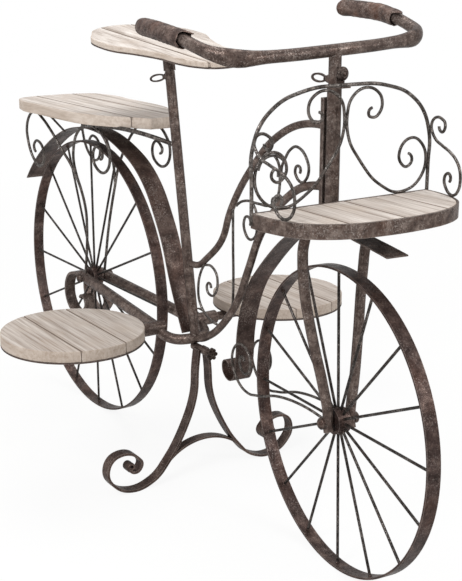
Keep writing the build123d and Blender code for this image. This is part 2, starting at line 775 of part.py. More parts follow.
# Struts from the carrier to the fender
with BuildPart() as fender_struts:
    for side in (-1, 1):
        add_rod([(rear_axle_x - rear_wheel_radius * 0.19, side * strap_side, strap_z),
                 (rear_axle_x - rear_wheel_radius * 0.286, side * rear_fender_width * 0.47,
                  rear_wheel_radius * 2.04)], thin_wire_radius)
    add(rear_carrier.part, mode=Mode.SUBTRACT)
    add(rear_planks, mode=Mode.SUBTRACT)
    add(rear_fender.part, mode=Mode.SUBTRACT)
save(fender_struts.part, "fender_struts")

# Side shelves: planks, plate and arm
for side, hand in ((-1, "right"), (1, "left")):
    disc_centre = (stand_x + disc_ahead, side * disc_side)
    plate_z = socket_z + arm_radius - bite / 2
    with BuildSketch() as disc_outline:
        with Locations(disc_centre):
            Circle(disc_radius)
    with BuildPart() as disc_plate_part:
        extrude(Plane.XY.offset(plate_z) * disc_outline.sketch, amount=disc_plate)
    with BuildPart() as arm:
        add_cylinder((socket_x, side * (socket_inner + socket_radius / 2 + free_gap), socket_z),
                     (0, side, 0), disc_side + disc_radius * arm_reach_share - socket_inner, arm_radius)
        add(disc_plate_part.part, mode=Mode.SUBTRACT)
    save(arm.part, f"{hand}_arm")
    save(disc_plate_part.part, f"{hand}_shelf_plate")
    save(planks(disc_outline.sketch, (side * disc_side - disc_seam, side * disc_side + disc_seam),
                disc_board, Plane.XY.offset(plate_z + disc_plate + disc_board)),
         f"{hand}_shelf_planks")

# Seat post and saddle
with BuildPart() as seat_post:
    add_cylinder(on_seat(seat_tube_length - post_grip), seat_way,
                 post_grip + saddle_socket_length + free_gap * 2, post_radius)
save(seat_post.part, "seat_post")

seat_top = on_seat(seat_tube_length)
saddle_plane = Plane(
    origin=(seat_top[0] - saddle_behind_tube, 0, seat_top[2] + saddle_over_tube),
    x_dir=(cos(radians(saddle_nose_down)), 0, -sin(radians(saddle_nose_down))),
    z_dir=(sin(radians(saddle_nose_down)), 0, cos(radians(saddle_nose_down))),
).rotated((saddle_roll, 0, 0))
saddle_outline = outline_through(
    [(saddle_length * a - saddle_back, saddle_half_width * w) for a, w in saddle_shares])
saddle_planks = planks(saddle_outline, (-saddle_seam, saddle_seam), saddle_board, saddle_plane)
save(saddle_planks, "saddle_planks")
with BuildPart() as saddle_plate_part:
    extrude(saddle_plane.offset(-saddle_board) * saddle_outline, amount=-saddle_plate)
save(saddle_plate_part.part, "saddle_plate")
with BuildPart() as saddle_socket:
    add_cylinder(on_seat(seat_tube_length + free_gap * 2), seat_way, saddle_socket_length * 2,
                 saddle_socket_radius)
    add_cylinder(on_seat(seat_tube_length), seat_way, saddle_socket_length + free_gap * 3,
                 post_radius + slide_gap, Mode.SUBTRACT)
    extrude(saddle_plane.offset(-saddle_board - saddle_plate) * saddle_outline,
            amount=saddle_socket_length * 2, mode=Mode.SUBTRACT)
save(saddle_socket.part, "saddle_socket")

# Front shelf: band, planks and the straps under them
front_x = stand_x + front_shelf_ahead
band_low_z = front_shelf_top_z - front_band_height


front_outline = outline_through(
    [(front_x + front_shelf_depth * a, front_shelf_half_width * w) for a, w in front_shelf_shares])

board_low_z = front_shelf_top_z - front_board
strap_low_z = board_low_z - front_strap_thickness
strap_length = front_x + front_shelf_depth - column_x
with BuildPart() as front_straps:
    with BuildSketch(Plane.XY.offset(strap_low_z)):
        with Locations((column_x + strap_length / 2, 0)):
            Rectangle(strap_length, front_strap_width)
        with Locations((front_x + cross_strap_ahead, 0)):
            Rectangle(front_strap_width, front_shelf_half_width * 2)
        with BuildSketch(mode=Mode.INTERSECT):
            add(drawn_in(front_outline, front_band_thickness / 2))
            with Locations((column_x, 0)):
                Rectangle((front_x - column_x + front_band_thickness) * 2, front_strap_width)
        with Locations((column_x, 0)):
            Circle(column_radius, mode=Mode.SUBTRACT)
    extrude(amount=front_strap_thickness)
save(front_straps.part, "front_shelf_straps")

with BuildPart() as front_band:
    with BuildSketch(Plane.XY.offset(band_low_z)):
        add(front_outline)
        add(drawn_in(front_outline, front_band_thickness), mode=Mode.SUBTRACT)
    extrude(amount=front_band_height)
    add(front_straps.part, mode=Mode.SUBTRACT)
save(front_band.part, "front_shelf_band")

front_planks = planks(drawn_in(front_outline, front_band_thickness + rest_gap), (-front_seam, 0, front_seam),
                      front_board, Plane.XY.offset(front_shelf_top_z))
save(front_planks, "front_shelf_planks")

# Gallery: one rail with its two posts, four C scrolls and the side scrolls
gallery_x = front_x + thin_wire_radius
rail_half = front_places(rail_shares, (0, front_shelf_top_z - bite), (gallery_half_width, gallery_height - bite),
                         gallery_x)
with BuildPart() as gallery_rail:
    add_rod([(x, -y, z) for x, y, z in rail_half] + rail_half[-2::-1], wire_radius)
    add(front_band.part, mode=Mode.SUBTRACT)
save(gallery_rail.part, "gallery_rail")

c_half = front_places(c_scroll_shares, (0, front_shelf_top_z), (gallery_half_width, gallery_height),
                      gallery_x)
with BuildPart() as c_scrolls:
    for points in both_sides(c_half):
        add_rod(points, thin_wire_radius)
    add(gallery_rail.part, mode=Mode.SUBTRACT)
    add(front_band.part, mode=Mode.SUBTRACT)
    add(front_planks, mode=Mode.SUBTRACT)
save(c_scrolls.part, "gallery_c_scrolls")

scroll_half = [
    (gallery_x + side_scroll_reach * out, gallery_half_width - side_scroll_reach * out * side_scroll_lean,
     front_shelf_top_z + side_scroll_height * up) for out, up in s_scroll_shares
]
with BuildPart() as side_scrolls:
    for points in both_sides(scroll_half):
        add_rod(points, thin_wire_radius)
    add(gallery_rail.part, mode=Mode.SUBTRACT)
    add(front_band.part, mode=Mode.SUBTRACT)
    add(front_planks, mode=Mode.SUBTRACT)
save(side_scrolls.part, "gallery_side_scrolls")

# Bar spigot in the column, handlebar over it
spigot_length = column_radius * 5
with BuildPart() as spigot:
    add_cylinder((column_x, 0, column_top_z - spigot_length), (0, 0, 1),
                 spigot_length + (bar_z - column_top_z) / 2, spigot_radius)
save(spigot.part, "bar_spigot")

stem_low_z = column_top_z + rest_gap
bar_screw_z = column_top_z + boss_radius + bite
bar_axis = Axis((column_x, 0, bar_z), (1, 0, 0))
bar_half = space_places(bar_shares, (column_x, 0, bar_z), (-bar_sweep, bar_half_width, bar_rise))
grip_half = space_places(grip_shares, (column_x, 0, bar_z), (-bar_sweep, bar_half_width, bar_rise))
bar_points = [(x, -y, z) for x, y, z in bar_half[::-1]] + [(column_x, 0, bar_z)] + bar_half
with BuildPart() as bar_tube:
    add_rod(bar_points, bar_radius)
bar_rolled = bar_tube.part.rotate(bar_axis, bar_roll)
stem_length = bar_z - bar_radius * 0.4 - stem_low_z
with BuildPart() as handlebar:
    add_cylinder((column_x, 0, stem_low_z), (0, 0, 1), stem_length, stem_radius)
    add(bar_rolled)
    add_cylinder((column_x, 0, bar_screw_z), (-1, 0, 0), stem_radius + boss_length, boss_radius)
    add_cylinder((column_x, 0, stem_low_z), (0, 0, 1), stem_length / 2 + free_gap * 4,
                 spigot_radius + slide_gap, Mode.SUBTRACT)
    add_cylinder((column_x, 0, bar_screw_z), (-1, 0, 0), stem_radius + boss_length + bite,
                 screw_radius + slide_gap, Mode.SUBTRACT)
save(handlebar.part, "handlebar")

with BuildPart() as grips:
    for points in both_sides(grip_half):
        add_rod(points, grip_radius)
        tip = Vector(*points[-1])
        with Locations(tip):
            Sphere(grip_radius)
    for points in both_sides(bar_half):
        add_rod(points, bar_radius, Mode.SUBTRACT)
save(grips.part.rotate(bar_axis, bar_roll), "grips")


# Ring screws
def ring_screw(start, way, shank, length=ring_length):
    # A shank with a collar and a flat oval ring
    start, way = Vector(*start), Vector(*way).normalized()
    ring_centre = start + way * (shank + screw_collar_length + length / 2 - bite)
    with BuildPart() as screw:
        add_cylinder(start, way, shank + bite, screw_radius)
        add_cylinder(start + way * shank, way, screw_collar_length, screw_collar_radius)
        with BuildSketch(Plane(origin=ring_centre, x_dir=way, z_dir=(0, 1, 0))) as ring:
            Ellipse(length / 2, ring_height / 2)
            Ellipse(length / 2 - ring_wire, ring_height / 2 - ring_wire, mode=Mode.SUBTRACT)
        extrude(ring.sketch, amount=ring_wire / 2, both=True)
    return screw.part


seat_shank = seat_tube_radius - post_radius + boss_length - rest_gap
save(ring_screw(on_seat(seat_boss_height, post_radius + rest_gap), seat_back_way,
                seat_shank + rest_gap, seat_ring_length), "seat_ring_screw")
save(ring_screw((column_x - spigot_radius - rest_gap, 0, bar_screw_z), (-1, 0, 0),
                stem_radius - spigot_radius + boss_length), "bar_ring_screw")
for side, hand in ((-1, "right"), (1, "left")):
    save(ring_screw((socket_x - arm_radius - rest_gap, side * (socket_outer - boss_radius - bite), socket_z),
                    (-1, 0, 0), socket_radius - arm_radius + boss_length),
         f"{hand}_ring_screw")


# Star knobs
def add_star(head_x, height):
    # A lobed head that faces ahead
    with BuildSketch(Plane(origin=(head_x, 0, height), x_dir=(0, 1, 0), z_dir=(1, 0, 0))) as star:
        Circle(knob_radius - knob_lobe_radius)
        with PolarLocations(knob_radius - knob_lobe_radius, knob_lobes):
            Circle(knob_lobe_radius)
    extrude(star.sketch, amount=knob_thickness)


# Tab from the gallery rail to the front of the bar stem, with its knob
tab_x = column_x + stem_radius + free_gap * 2
knob_z = column_top_z + knob_radius + wire_radius * 2
with BuildPart() as knob_tab:
    with BuildSketch(Plane(origin=(tab_x, 0, 0), x_dir=(0, 1, 0), z_dir=(1, 0, 0))) as tab:
        with Locations((0, knob_z)):
            Circle(tab_width / 2)
        with Locations((0, (knob_z + column_top_z - bite) / 2)):
            Rectangle(tab_width, knob_z - column_top_z + bite)
    extrude(tab.sketch, amount=tab_thickness)
    with BuildSketch(Plane.XY.offset(column_top_z - tab_thickness)) as foot:
        with Locations((column_x + column_radius - bite, 0)):
            Rectangle(gallery_x - column_x - column_radius + bite, tab_width, align=(Align.MIN, Align.CENTER))
    extrude(foot.sketch, amount=tab_thickness)
    add_cylinder((tab_x - bite, 0, knob_z), (1, 0, 0), tab_thickness + bite * 2,
                 screw_radius + slide_gap, Mode.SUBTRACT)
    add_cylinder((column_x, 0, column_foot_z), (0, 0, 1), column_top_z - column_foot_z, column_radius,
                 Mode.SUBTRACT)
    add(gallery_rail.part, mode=Mode.SUBTRACT)
save(knob_tab.part, "knob_tab")
knob_shank = tab_thickness + free_gap * 3
with BuildPart() as bar_knob:
    add_cylinder((column_x + stem_radius + rest_gap, 0, knob_z), (1, 0, 0), knob_shank + bite, screw_radius)
    add_star(column_x + stem_radius + rest_gap + knob_shank, knob_z)
save(bar_knob.part, "bar_knob")

# Floor stand: sleeve and bolt under the yoke, its knob, two legs and a brace
sleeve_start_x = stand_x - stand_sleeve_back
sleeve_length = stand_sleeve_back + stand_sleeve_ahead
bolt_length = sleeve_length + free_gap + knob_thickness
with BuildPart() as stand_bolt:
    add_cylinder((sleeve_start_x, 0, stand_sleeve_z), (1, 0, 0), bolt_length, stand_bolt_radius)
    add_dome((sleeve_start_x, 0, stand_sleeve_z), (-1, 0, 0), stand_bolt_head, stand_bolt_head * 0.7)
save(stand_bolt.part, "stand_bolt")
with BuildPart() as stand_sleeve:
    add_cylinder((sleeve_start_x, 0, stand_sleeve_z), (1, 0, 0), sleeve_length, stand_sleeve_radius)
    add(stand_bolt.part, mode=Mode.SUBTRACT)
    add(yoke.part, mode=Mode.SUBTRACT)
    add(seat_tube.part, mode=Mode.SUBTRACT)
    add(lower_tube.part, mode=Mode.SUBTRACT)
save(stand_sleeve.part, "stand_sleeve")
with BuildPart() as stand_knob:
    add_star(stand_x + stand_sleeve_ahead + free_gap, stand_sleeve_z)
    add_cylinder((stand_x + stand_sleeve_ahead, 0, stand_sleeve_z), (1, 0, 0),
                 knob_thickness + free_gap * 3, stand_bolt_radius + slide_gap, Mode.SUBTRACT)
save(stand_knob.part, "stand_knob")

stand_leg_x = stand_x + stand_leg_ahead
leg_half = front_places(stand_leg_shares, (0, stand_strip_thickness / 2), (stand_foot_reach, stand_height),
                        stand_leg_x)
stand_legs = {}
for points, hand in zip(both_sides(leg_half), ("right", "left")):
    with BuildPart() as stand_leg:
        add_strip(points, (1, 0, 0), stand_strip_width, stand_strip_thickness)
        add_cylinder((sleeve_start_x - bite, 0, stand_sleeve_z), (1, 0, 0), sleeve_length + bite * 2,
                     stand_sleeve_radius, Mode.SUBTRACT)
        add(yoke.part, mode=Mode.SUBTRACT)
    save(stand_leg.part, f"{hand}_stand_leg")
    stand_legs[hand] = stand_leg.part

with BuildPart() as brace:
    add_strip([(stand_leg_x, -brace_half_width, brace_foot_z), (stand_leg_x, 0, brace_top_z),
               (stand_leg_x, brace_half_width, brace_foot_z)], (1, 0, 0), brace_width, brace_thickness)
    for leg_piece in stand_legs.values():
        add(leg_piece, mode=Mode.SUBTRACT)
save(brace.part, "stand_brace")
print("done")
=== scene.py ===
import json
import math
import bmesh
import bpy
import numpy as np
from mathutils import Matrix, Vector


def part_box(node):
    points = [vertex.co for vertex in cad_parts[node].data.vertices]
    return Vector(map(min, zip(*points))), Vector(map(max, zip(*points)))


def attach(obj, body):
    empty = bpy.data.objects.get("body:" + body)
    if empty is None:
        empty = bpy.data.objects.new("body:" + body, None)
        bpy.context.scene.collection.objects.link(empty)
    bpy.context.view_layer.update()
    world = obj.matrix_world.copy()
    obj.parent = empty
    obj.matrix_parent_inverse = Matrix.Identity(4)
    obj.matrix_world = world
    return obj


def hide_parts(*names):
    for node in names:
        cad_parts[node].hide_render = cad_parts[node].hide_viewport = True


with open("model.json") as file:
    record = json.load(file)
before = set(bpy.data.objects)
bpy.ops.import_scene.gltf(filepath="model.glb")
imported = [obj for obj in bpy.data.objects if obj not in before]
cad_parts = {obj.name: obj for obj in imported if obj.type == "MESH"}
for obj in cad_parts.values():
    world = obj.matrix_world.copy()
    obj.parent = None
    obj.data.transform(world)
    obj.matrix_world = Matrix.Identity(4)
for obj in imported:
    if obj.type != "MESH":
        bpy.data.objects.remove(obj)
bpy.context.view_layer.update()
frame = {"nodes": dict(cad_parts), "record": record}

mm = 0.001
mergeWithin = 0.02 * mm  # points of a piece that are nearer to each other become one
bodyOf = {node: body for body, nodes in frame["record"]["behaviour"]["bodies"].items() for node in nodes}
print("frame loaded,", len(frame["nodes"]), "nodes")


def linearColour(hexText):
    # sRGB hex to the linear values that shaders take: a straight line near black, a power of 2.4 above it
    parts = np.array([int(hexText[i:i + 2], 16) for i in (1, 3, 5)]) / 255
    linear = np.where(parts <= 0.04045, parts / 12.92, ((parts + 0.055) / 1.055) ** 2.4)
    return (*linear.tolist(), 1.0)


def emptyTree(owner):
    # the node tree of a material or a world, with nothing in it
    owner.use_nodes = True
    owner.node_tree.nodes.clear()
    return owner.node_tree


def addNode(tree, kind, links=None, **settings):
    # one node with its settings, and each socket linked or set
    node = tree.nodes.new(kind)
    for name, value in settings.items():
        setattr(node, name, value)
    for socket, value in (links or {}).items():
        if isinstance(value, bpy.types.NodeSocket):
            tree.links.new(value, node.inputs[socket])
        else:
            node.inputs[socket].default_value = value
    return node


def fillRamp(node, stops):
    # stops: (place, hex colour) from left to right
    ramp = node.color_ramp
    while len(ramp.elements) < len(stops):
        ramp.elements.new(0.5)
    for element, (place, hexText) in zip(ramp.elements, stops):
        element.position = place
        element.color = linearColour(hexText)
    return node.outputs["Color"]


def gridQuads(rows, cols, start=0, closed=False):
    # corner numbers of the faces of a rows x cols grid, joined round when closed
    i = np.arange(rows - 1)[:, None]
    j = np.arange(cols if closed else cols - 1)[None, :]
    k = (j + 1) % cols
    faces = np.stack([i * cols + j, i * cols + k, (i + 1) * cols + k, (i + 1) * cols + j], -1)
    return start + faces.reshape(-1, 4)


waveLook = {"spreadA": (-1.4, 1.4), "spreadB": (0.5, 1.5), "gain": 1.6}  # spreads are shares of 1 / length


def waves(a, b, seed, lengthA, lengthB, count=7):
    # mean of sine waves with random phase, whose lengths are near lengthA along a and lengthB along b,
    # times the gain
    random = np.random.default_rng(seed)
    perA = 2 * np.pi / lengthA * random.uniform(*waveLook["spreadA"], count)
    perB = 2 * np.pi / lengthB * random.uniform(*waveLook["spreadB"], count)
    shift = random.uniform(0, 2 * np.pi, count)
    return np.sin(a[..., None] * perA + b[..., None] * perB + shift).mean(-1) * waveLook["gain"]


def makePiece(name, points, quads, slotName, body, **marks):
    # a smooth mesh object at the origin; marks are values kept on the points for the material
    mesh = bpy.data.meshes.new(name)
    mesh.vertices.add(len(points))
    mesh.vertices.foreach_set("co", points.astype(np.float32).ravel())
    mesh.loops.add(quads.size)
    mesh.loops.foreach_set("vertex_index", quads.astype(np.int32).ravel())
    mesh.polygons.add(len(quads))
    mesh.polygons.foreach_set("loop_start", np.arange(0, quads.size, 4, dtype=np.int32))
    mesh.polygons.foreach_set("loop_total", np.full(len(quads), 4, dtype=np.int32))
    mesh.polygons.foreach_set("use_smooth", np.ones(len(quads), bool))
    mesh.update(calc_edges=True)
    for mark, values in marks.items():
        attribute = mesh.attributes.new(mark, "FLOAT", "POINT")
        attribute.data.foreach_set("value", values.astype(np.float32).ravel())
    work = bmesh.new()
    work.from_mesh(mesh)
    bmesh.ops.remove_doubles(work, verts=work.verts, dist=mergeWithin)
    bmesh.ops.recalc_face_normals(work, faces=work.faces)
    work.to_mesh(mesh)
    work.free()
    mesh.materials.append(finishes[slotName])
    piece = bpy.data.objects.new(name, mesh)
    bpy.context.scene.collection.objects.link(piece)
    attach(piece, body)
    return piece


# mild steel under brown-black stove enamel that was rubbed back by hand: soft mottled brown with
# pale specks, a little rust and paler corners; edge tints the shine, patch is the width of the
# mottling in mm, and rough goes from its palest patches to its darkest
ironLook = {
    "wheel_iron": {"dark": "#261e1c", "mid": "#3f3330", "light": "#60514b", "speck": "#a89b95",
                   "edge": "#7d736c", "rust": "#55392d", "rustShare": 0.3, "speckShare": 0.4,
                   "patch": 20, "rough": (0.24, 0.46)},
    "tube_iron": {"dark": "#382f2c", "mid": "#554944", "light": "#7b6e67", "speck": "#c0b5ae",
                  "edge": "#7d736c", "rust": "#563c31", "rustShare": 0.22, "speckShare": 0.46,
                  "patch": 12, "rough": (0.18, 0.4)},
    "sheet_iron": {"dark": "#2f2623", "mid": "#433733", "light": "#5e514b", "speck": "#b5a9a2",
                   "edge": "#7d736c", "rust": "#55392d", "rustShare": 0.25, "speckShare": 0.45,
                   "patch": 26, "rough": (0.24, 0.46)},
    "wire_iron": {"dark": "#262321", "mid": "#46413e", "light": "#7d7671", "speck": "#d0cac5",
                  "edge": "#85807c", "rust": "#55392d", "rustShare": 0.12, "speckShare": 0.5,
                  "patch": 11, "rough": (0.16, 0.32)},
    "bolt_iron": {"dark": "#221d1c", "mid": "#3d3431", "light": "#665a54", "speck": "#a3978e",
                  "edge": "#7d736c", "rust": "#563a2e", "rustShare": 0.3, "speckShare": 0.4,
                  "patch": 6, "rough": (0.24, 0.42)},
    "grip_iron": {"dark": "#2e2523", "mid": "#564843", "light": "#7b6b64", "speck": "#b8aca4",
                  "edge": "#7d736c", "rust": "#6a4533", "rustShare": 0.5, "speckShare": 0.55,
                  "patch": 12, "rough": (0.3, 0.5)},
    # the spokes kept most of their enamel; the shelf's band is rubbed the most
    "spokes": {"dark": "#171514", "mid": "#2f2b29", "light": "#57514d", "speck": "#bdb5b0",
               "edge": "#85807c", "rust": "#4c352b", "rustShare": 0.12, "speckShare": 0.4,
               "patch": 11, "rough": (0.18, 0.34)},
    "rubbed_strip": {"dark": "#3c322f", "mid": "#5a4d47", "light": "#7f726b", "speck": "#c6bcb5",
                     "edge": "#7d736c", "rust": "#654534", "rustShare": 0.25, "speckShare": 0.5,
                     "patch": 13, "rough": (0.2, 0.42)},
}
otherFinish = {"rear_spokes": "spokes", "front_spokes": "spokes", "front_shelf_band": "rubbed_strip"}
enamelPattern = {  # the same in every iron finish, sizes in mm
    "speck": 2.2,               # bare specks, really 0.5 mm, drawn this coarse so that they show
    "handled": 35,              # width of the clouds where hands and boots rubbed
    "grain": 3.6,               # unevenness of the paint
    "corner": 1.6,              # how far round a strip's corner the paint is rubbed
    "hammer": (9, 0.9),         # hammer marks: width, and a bump that leaves them about 0.3 mm deep
    "pitted": 0.5,              # bump of the specks
    "rustPatches": 3,           # width of a rust cloud, in patches
    "metal": (0.45, 0.85),      # metallic value of the thin paint and of bare metal
    # from where to where in a noise's values
    "patchSpan": (0.3, 0.7),    # darkest patch to palest
    "rustSpan": (0.48, 0.68),   # no rust to all its share
    "handledSpan": (0.36, 0.62),  # left alone to much handled
    "speckLeast": (0.63, 0.5),  # where specks start, left alone and much handled
    "speckFade": 0.17,          # and how much further they are full
    "grainSpan": (0.35, 0.65), "grainLight": (0.74, 1.3),  # darkest to palest, and times how much
}


def agedEnamel(name, look):
    # colour: three browns by a noise, rust by a wider one, scaled by the grain, then bare metal at the
    # specks and corners, which is also more metallic
    material = bpy.data.materials.new(name)
    tree = emptyTree(material)
    pattern = enamelPattern
    darkest, palest = pattern["patchSpan"]
    smoothest, roughest = look["rough"]
    place = addNode(tree, "ShaderNodeTexCoord").outputs["Object"]
    # patches of rubbed enamel
    patch = addNode(tree, "ShaderNodeTexNoise",
                    {"Vector": place, "Scale": 1 / (look["patch"] * mm), "Detail": 7.0, "Roughness": 0.66})
    base = fillRamp(addNode(tree, "ShaderNodeValToRGB", {"Fac": patch.outputs["Fac"]}),
                    [(darkest, look["dark"]), (0.5, look["mid"]), (palest, look["light"])])
    # rust coming through in wider clouds
    cloudScale = 1 / (look["patch"] * pattern["rustPatches"] * mm)
    cloud = addNode(tree, "ShaderNodeTexNoise",
                    {"Vector": place, "Scale": cloudScale, "Detail": 5.0, "Roughness": 0.6})
    low, high = pattern["rustSpan"]
    rusty = addNode(tree, "ShaderNodeMapRange",
                    {"Value": cloud.outputs["Fac"], "From Min": low, "From Max": high,
                     "To Max": look["rustShare"]})
    withRust = addNode(tree, "ShaderNodeMix",
                       {"Factor": rusty.outputs["Result"], "A": base, "B": linearColour(look["rust"])},
                       data_type="RGBA")
    # specks of bare metal gather in the handled clouds, where a lower noise is enough for one
    speck = addNode(tree, "ShaderNodeTexNoise",
                    {"Vector": place, "Scale": 1 / (pattern["speck"] * mm), "Detail": 3.0, "Roughness": 0.7})
    rub = addNode(tree, "ShaderNodeTexNoise",
                  {"Vector": place, "Scale": 1 / (pattern["handled"] * mm), "Detail": 3.0})
    (low, high), (alone, handled) = pattern["handledSpan"], pattern["speckLeast"]
    least = addNode(tree, "ShaderNodeMapRange",
                    {"Value": rub.outputs["Fac"], "From Min": low, "From Max": high,
                     "To Min": alone, "To Max": handled}).outputs["Result"]
    most = addNode(tree, "ShaderNodeMath", {0: least, 1: pattern["speckFade"]}, operation="ADD")
    speckled = addNode(tree, "ShaderNodeMapRange",
                       {"Value": speck.outputs["Fac"], "From Min": least, "From Max": most.outputs["Value"],
                        "To Max": look["speckShare"]})
    # the paint's own unevenness darkens and lightens it a little
    grain = addNode(tree, "ShaderNodeTexNoise",
                    {"Vector": place, "Scale": 1 / (pattern["grain"] * mm), "Detail": 4.0, "Roughness": 0.7})
    (low, high), (darker, lighter) = pattern["grainSpan"], pattern["grainLight"]
    grainy = addNode(tree, "ShaderNodeMapRange",
                     {"Value": grain.outputs["Fac"], "From Min": low, "From Max": high,
                      "To Min": darker, "To Max": lighter})
    withGrain = addNode(tree, "ShaderNodeVectorMath",
                        {0: withRust.outputs["Result"], "Scale": grainy.outputs["Result"]}, operation="SCALE")
    # a corner shows where the rounded normal leaves the flat one
    corner = addNode(tree, "ShaderNodeBevel", {"Radius": pattern["corner"] * mm}, samples=4)
    flat = addNode(tree, "ShaderNodeNewGeometry").outputs["Normal"]
    turn = addNode(tree, "ShaderNodeVectorMath", {0: corner.outputs["Normal"], 1: flat},
                   operation="DOT_PRODUCT")
    rubbed = addNode(tree, "ShaderNodeMapRange",
                     {"Value": turn.outputs["Value"], "From Min": 0.98, "From Max": 0.8, "To Max": 0.5})
    bare = addNode(tree, "ShaderNodeMath", {0: speckled.outputs["Result"], 1: rubbed.outputs["Result"]},
                   operation="MAXIMUM").outputs["Value"]
    colour = addNode(tree, "ShaderNodeMix",
                     {"Factor": bare, "A": withGrain.outputs["Vector"], "B": linearColour(look["speck"])},
                     data_type="RGBA")
    rough = addNode(tree, "ShaderNodeMapRange",
                    {"Value": patch.outputs["Fac"], "From Min": darkest, "From Max": palest,
                     "To Min": roughest, "To Max": smoothest})
    # hammer marks, and the specks as pits in the paint
    markWidth, markDepth = pattern["hammer"]
    marks = addNode(tree, "ShaderNodeTexNoise",
                    {"Vector": place, "Scale": 1 / (markWidth * mm), "Detail": 1.0})
    dented = addNode(tree, "ShaderNodeBump",
                     {"Height": marks.outputs["Fac"], "Distance": markDepth * mm, "Strength": 0.5})
    pitted = addNode(tree, "ShaderNodeBump",
                     {"Height": speck.outputs["Fac"], "Distance": pattern["pitted"] * mm, "Strength": 0.8,
                      "Normal": dented.outputs["Normal"]})
    painted, polished = pattern["metal"]
    metal = addNode(tree, "ShaderNodeMapRange", {"Value": bare, "To Min": painted, "To Max": polished})
    shader = addNode(tree, "ShaderNodeBsdfPrincipled",
                     {"Base Color": colour.outputs["Result"], "Metallic": metal.outputs["Result"],
                      "Specular IOR Level": 0.3, "Specular Tint": linearColour(look["edge"]),
                      "Roughness": rough.outputs["Result"], "Normal": pitted.outputs["Normal"]})
    addNode(tree, "ShaderNodeOutputMaterial", {"Surface": shader.outputs["BSDF"]})
    return material


# fir boards, brushed so that the grain stands up and then limewashed: pale grey-cream with darker
# lines, dirt in the pores and joints, and warm wood at the rims
washLook = {
    "line": "#8b7f75", "body": "#c0b6ae", "wash": "#dcd5ce", "rim": "#bba999", "knot": "#75604f",
    "streak": "#8a7a6d", "dirt": "#574a42",
    # sizes in mm; three are along the board, across it and through it
    "rings": (180, 4.5, 6),     # year rings, as long lines about 2.5 mm wide
    "bands": (300, 22, 30),     # paler and darker stretches of the log
    "pores": (70, 2.4, 4),      # pores, really 0.3 mm wide, drawn about 1.2 mm wide so that they show
    "thinWash": 60,             # width of the clouds where the wash is thin
    "knots": 120,               # about one small knot in a cell of this size
    "rubbed": 3.2,              # how far in from the edge the rim is rubbed
    "joint": (1.6, 0.6),        # how far out of a joint its dirt ends, and where it is full
    "raised": 0.6,              # height of the rings
}


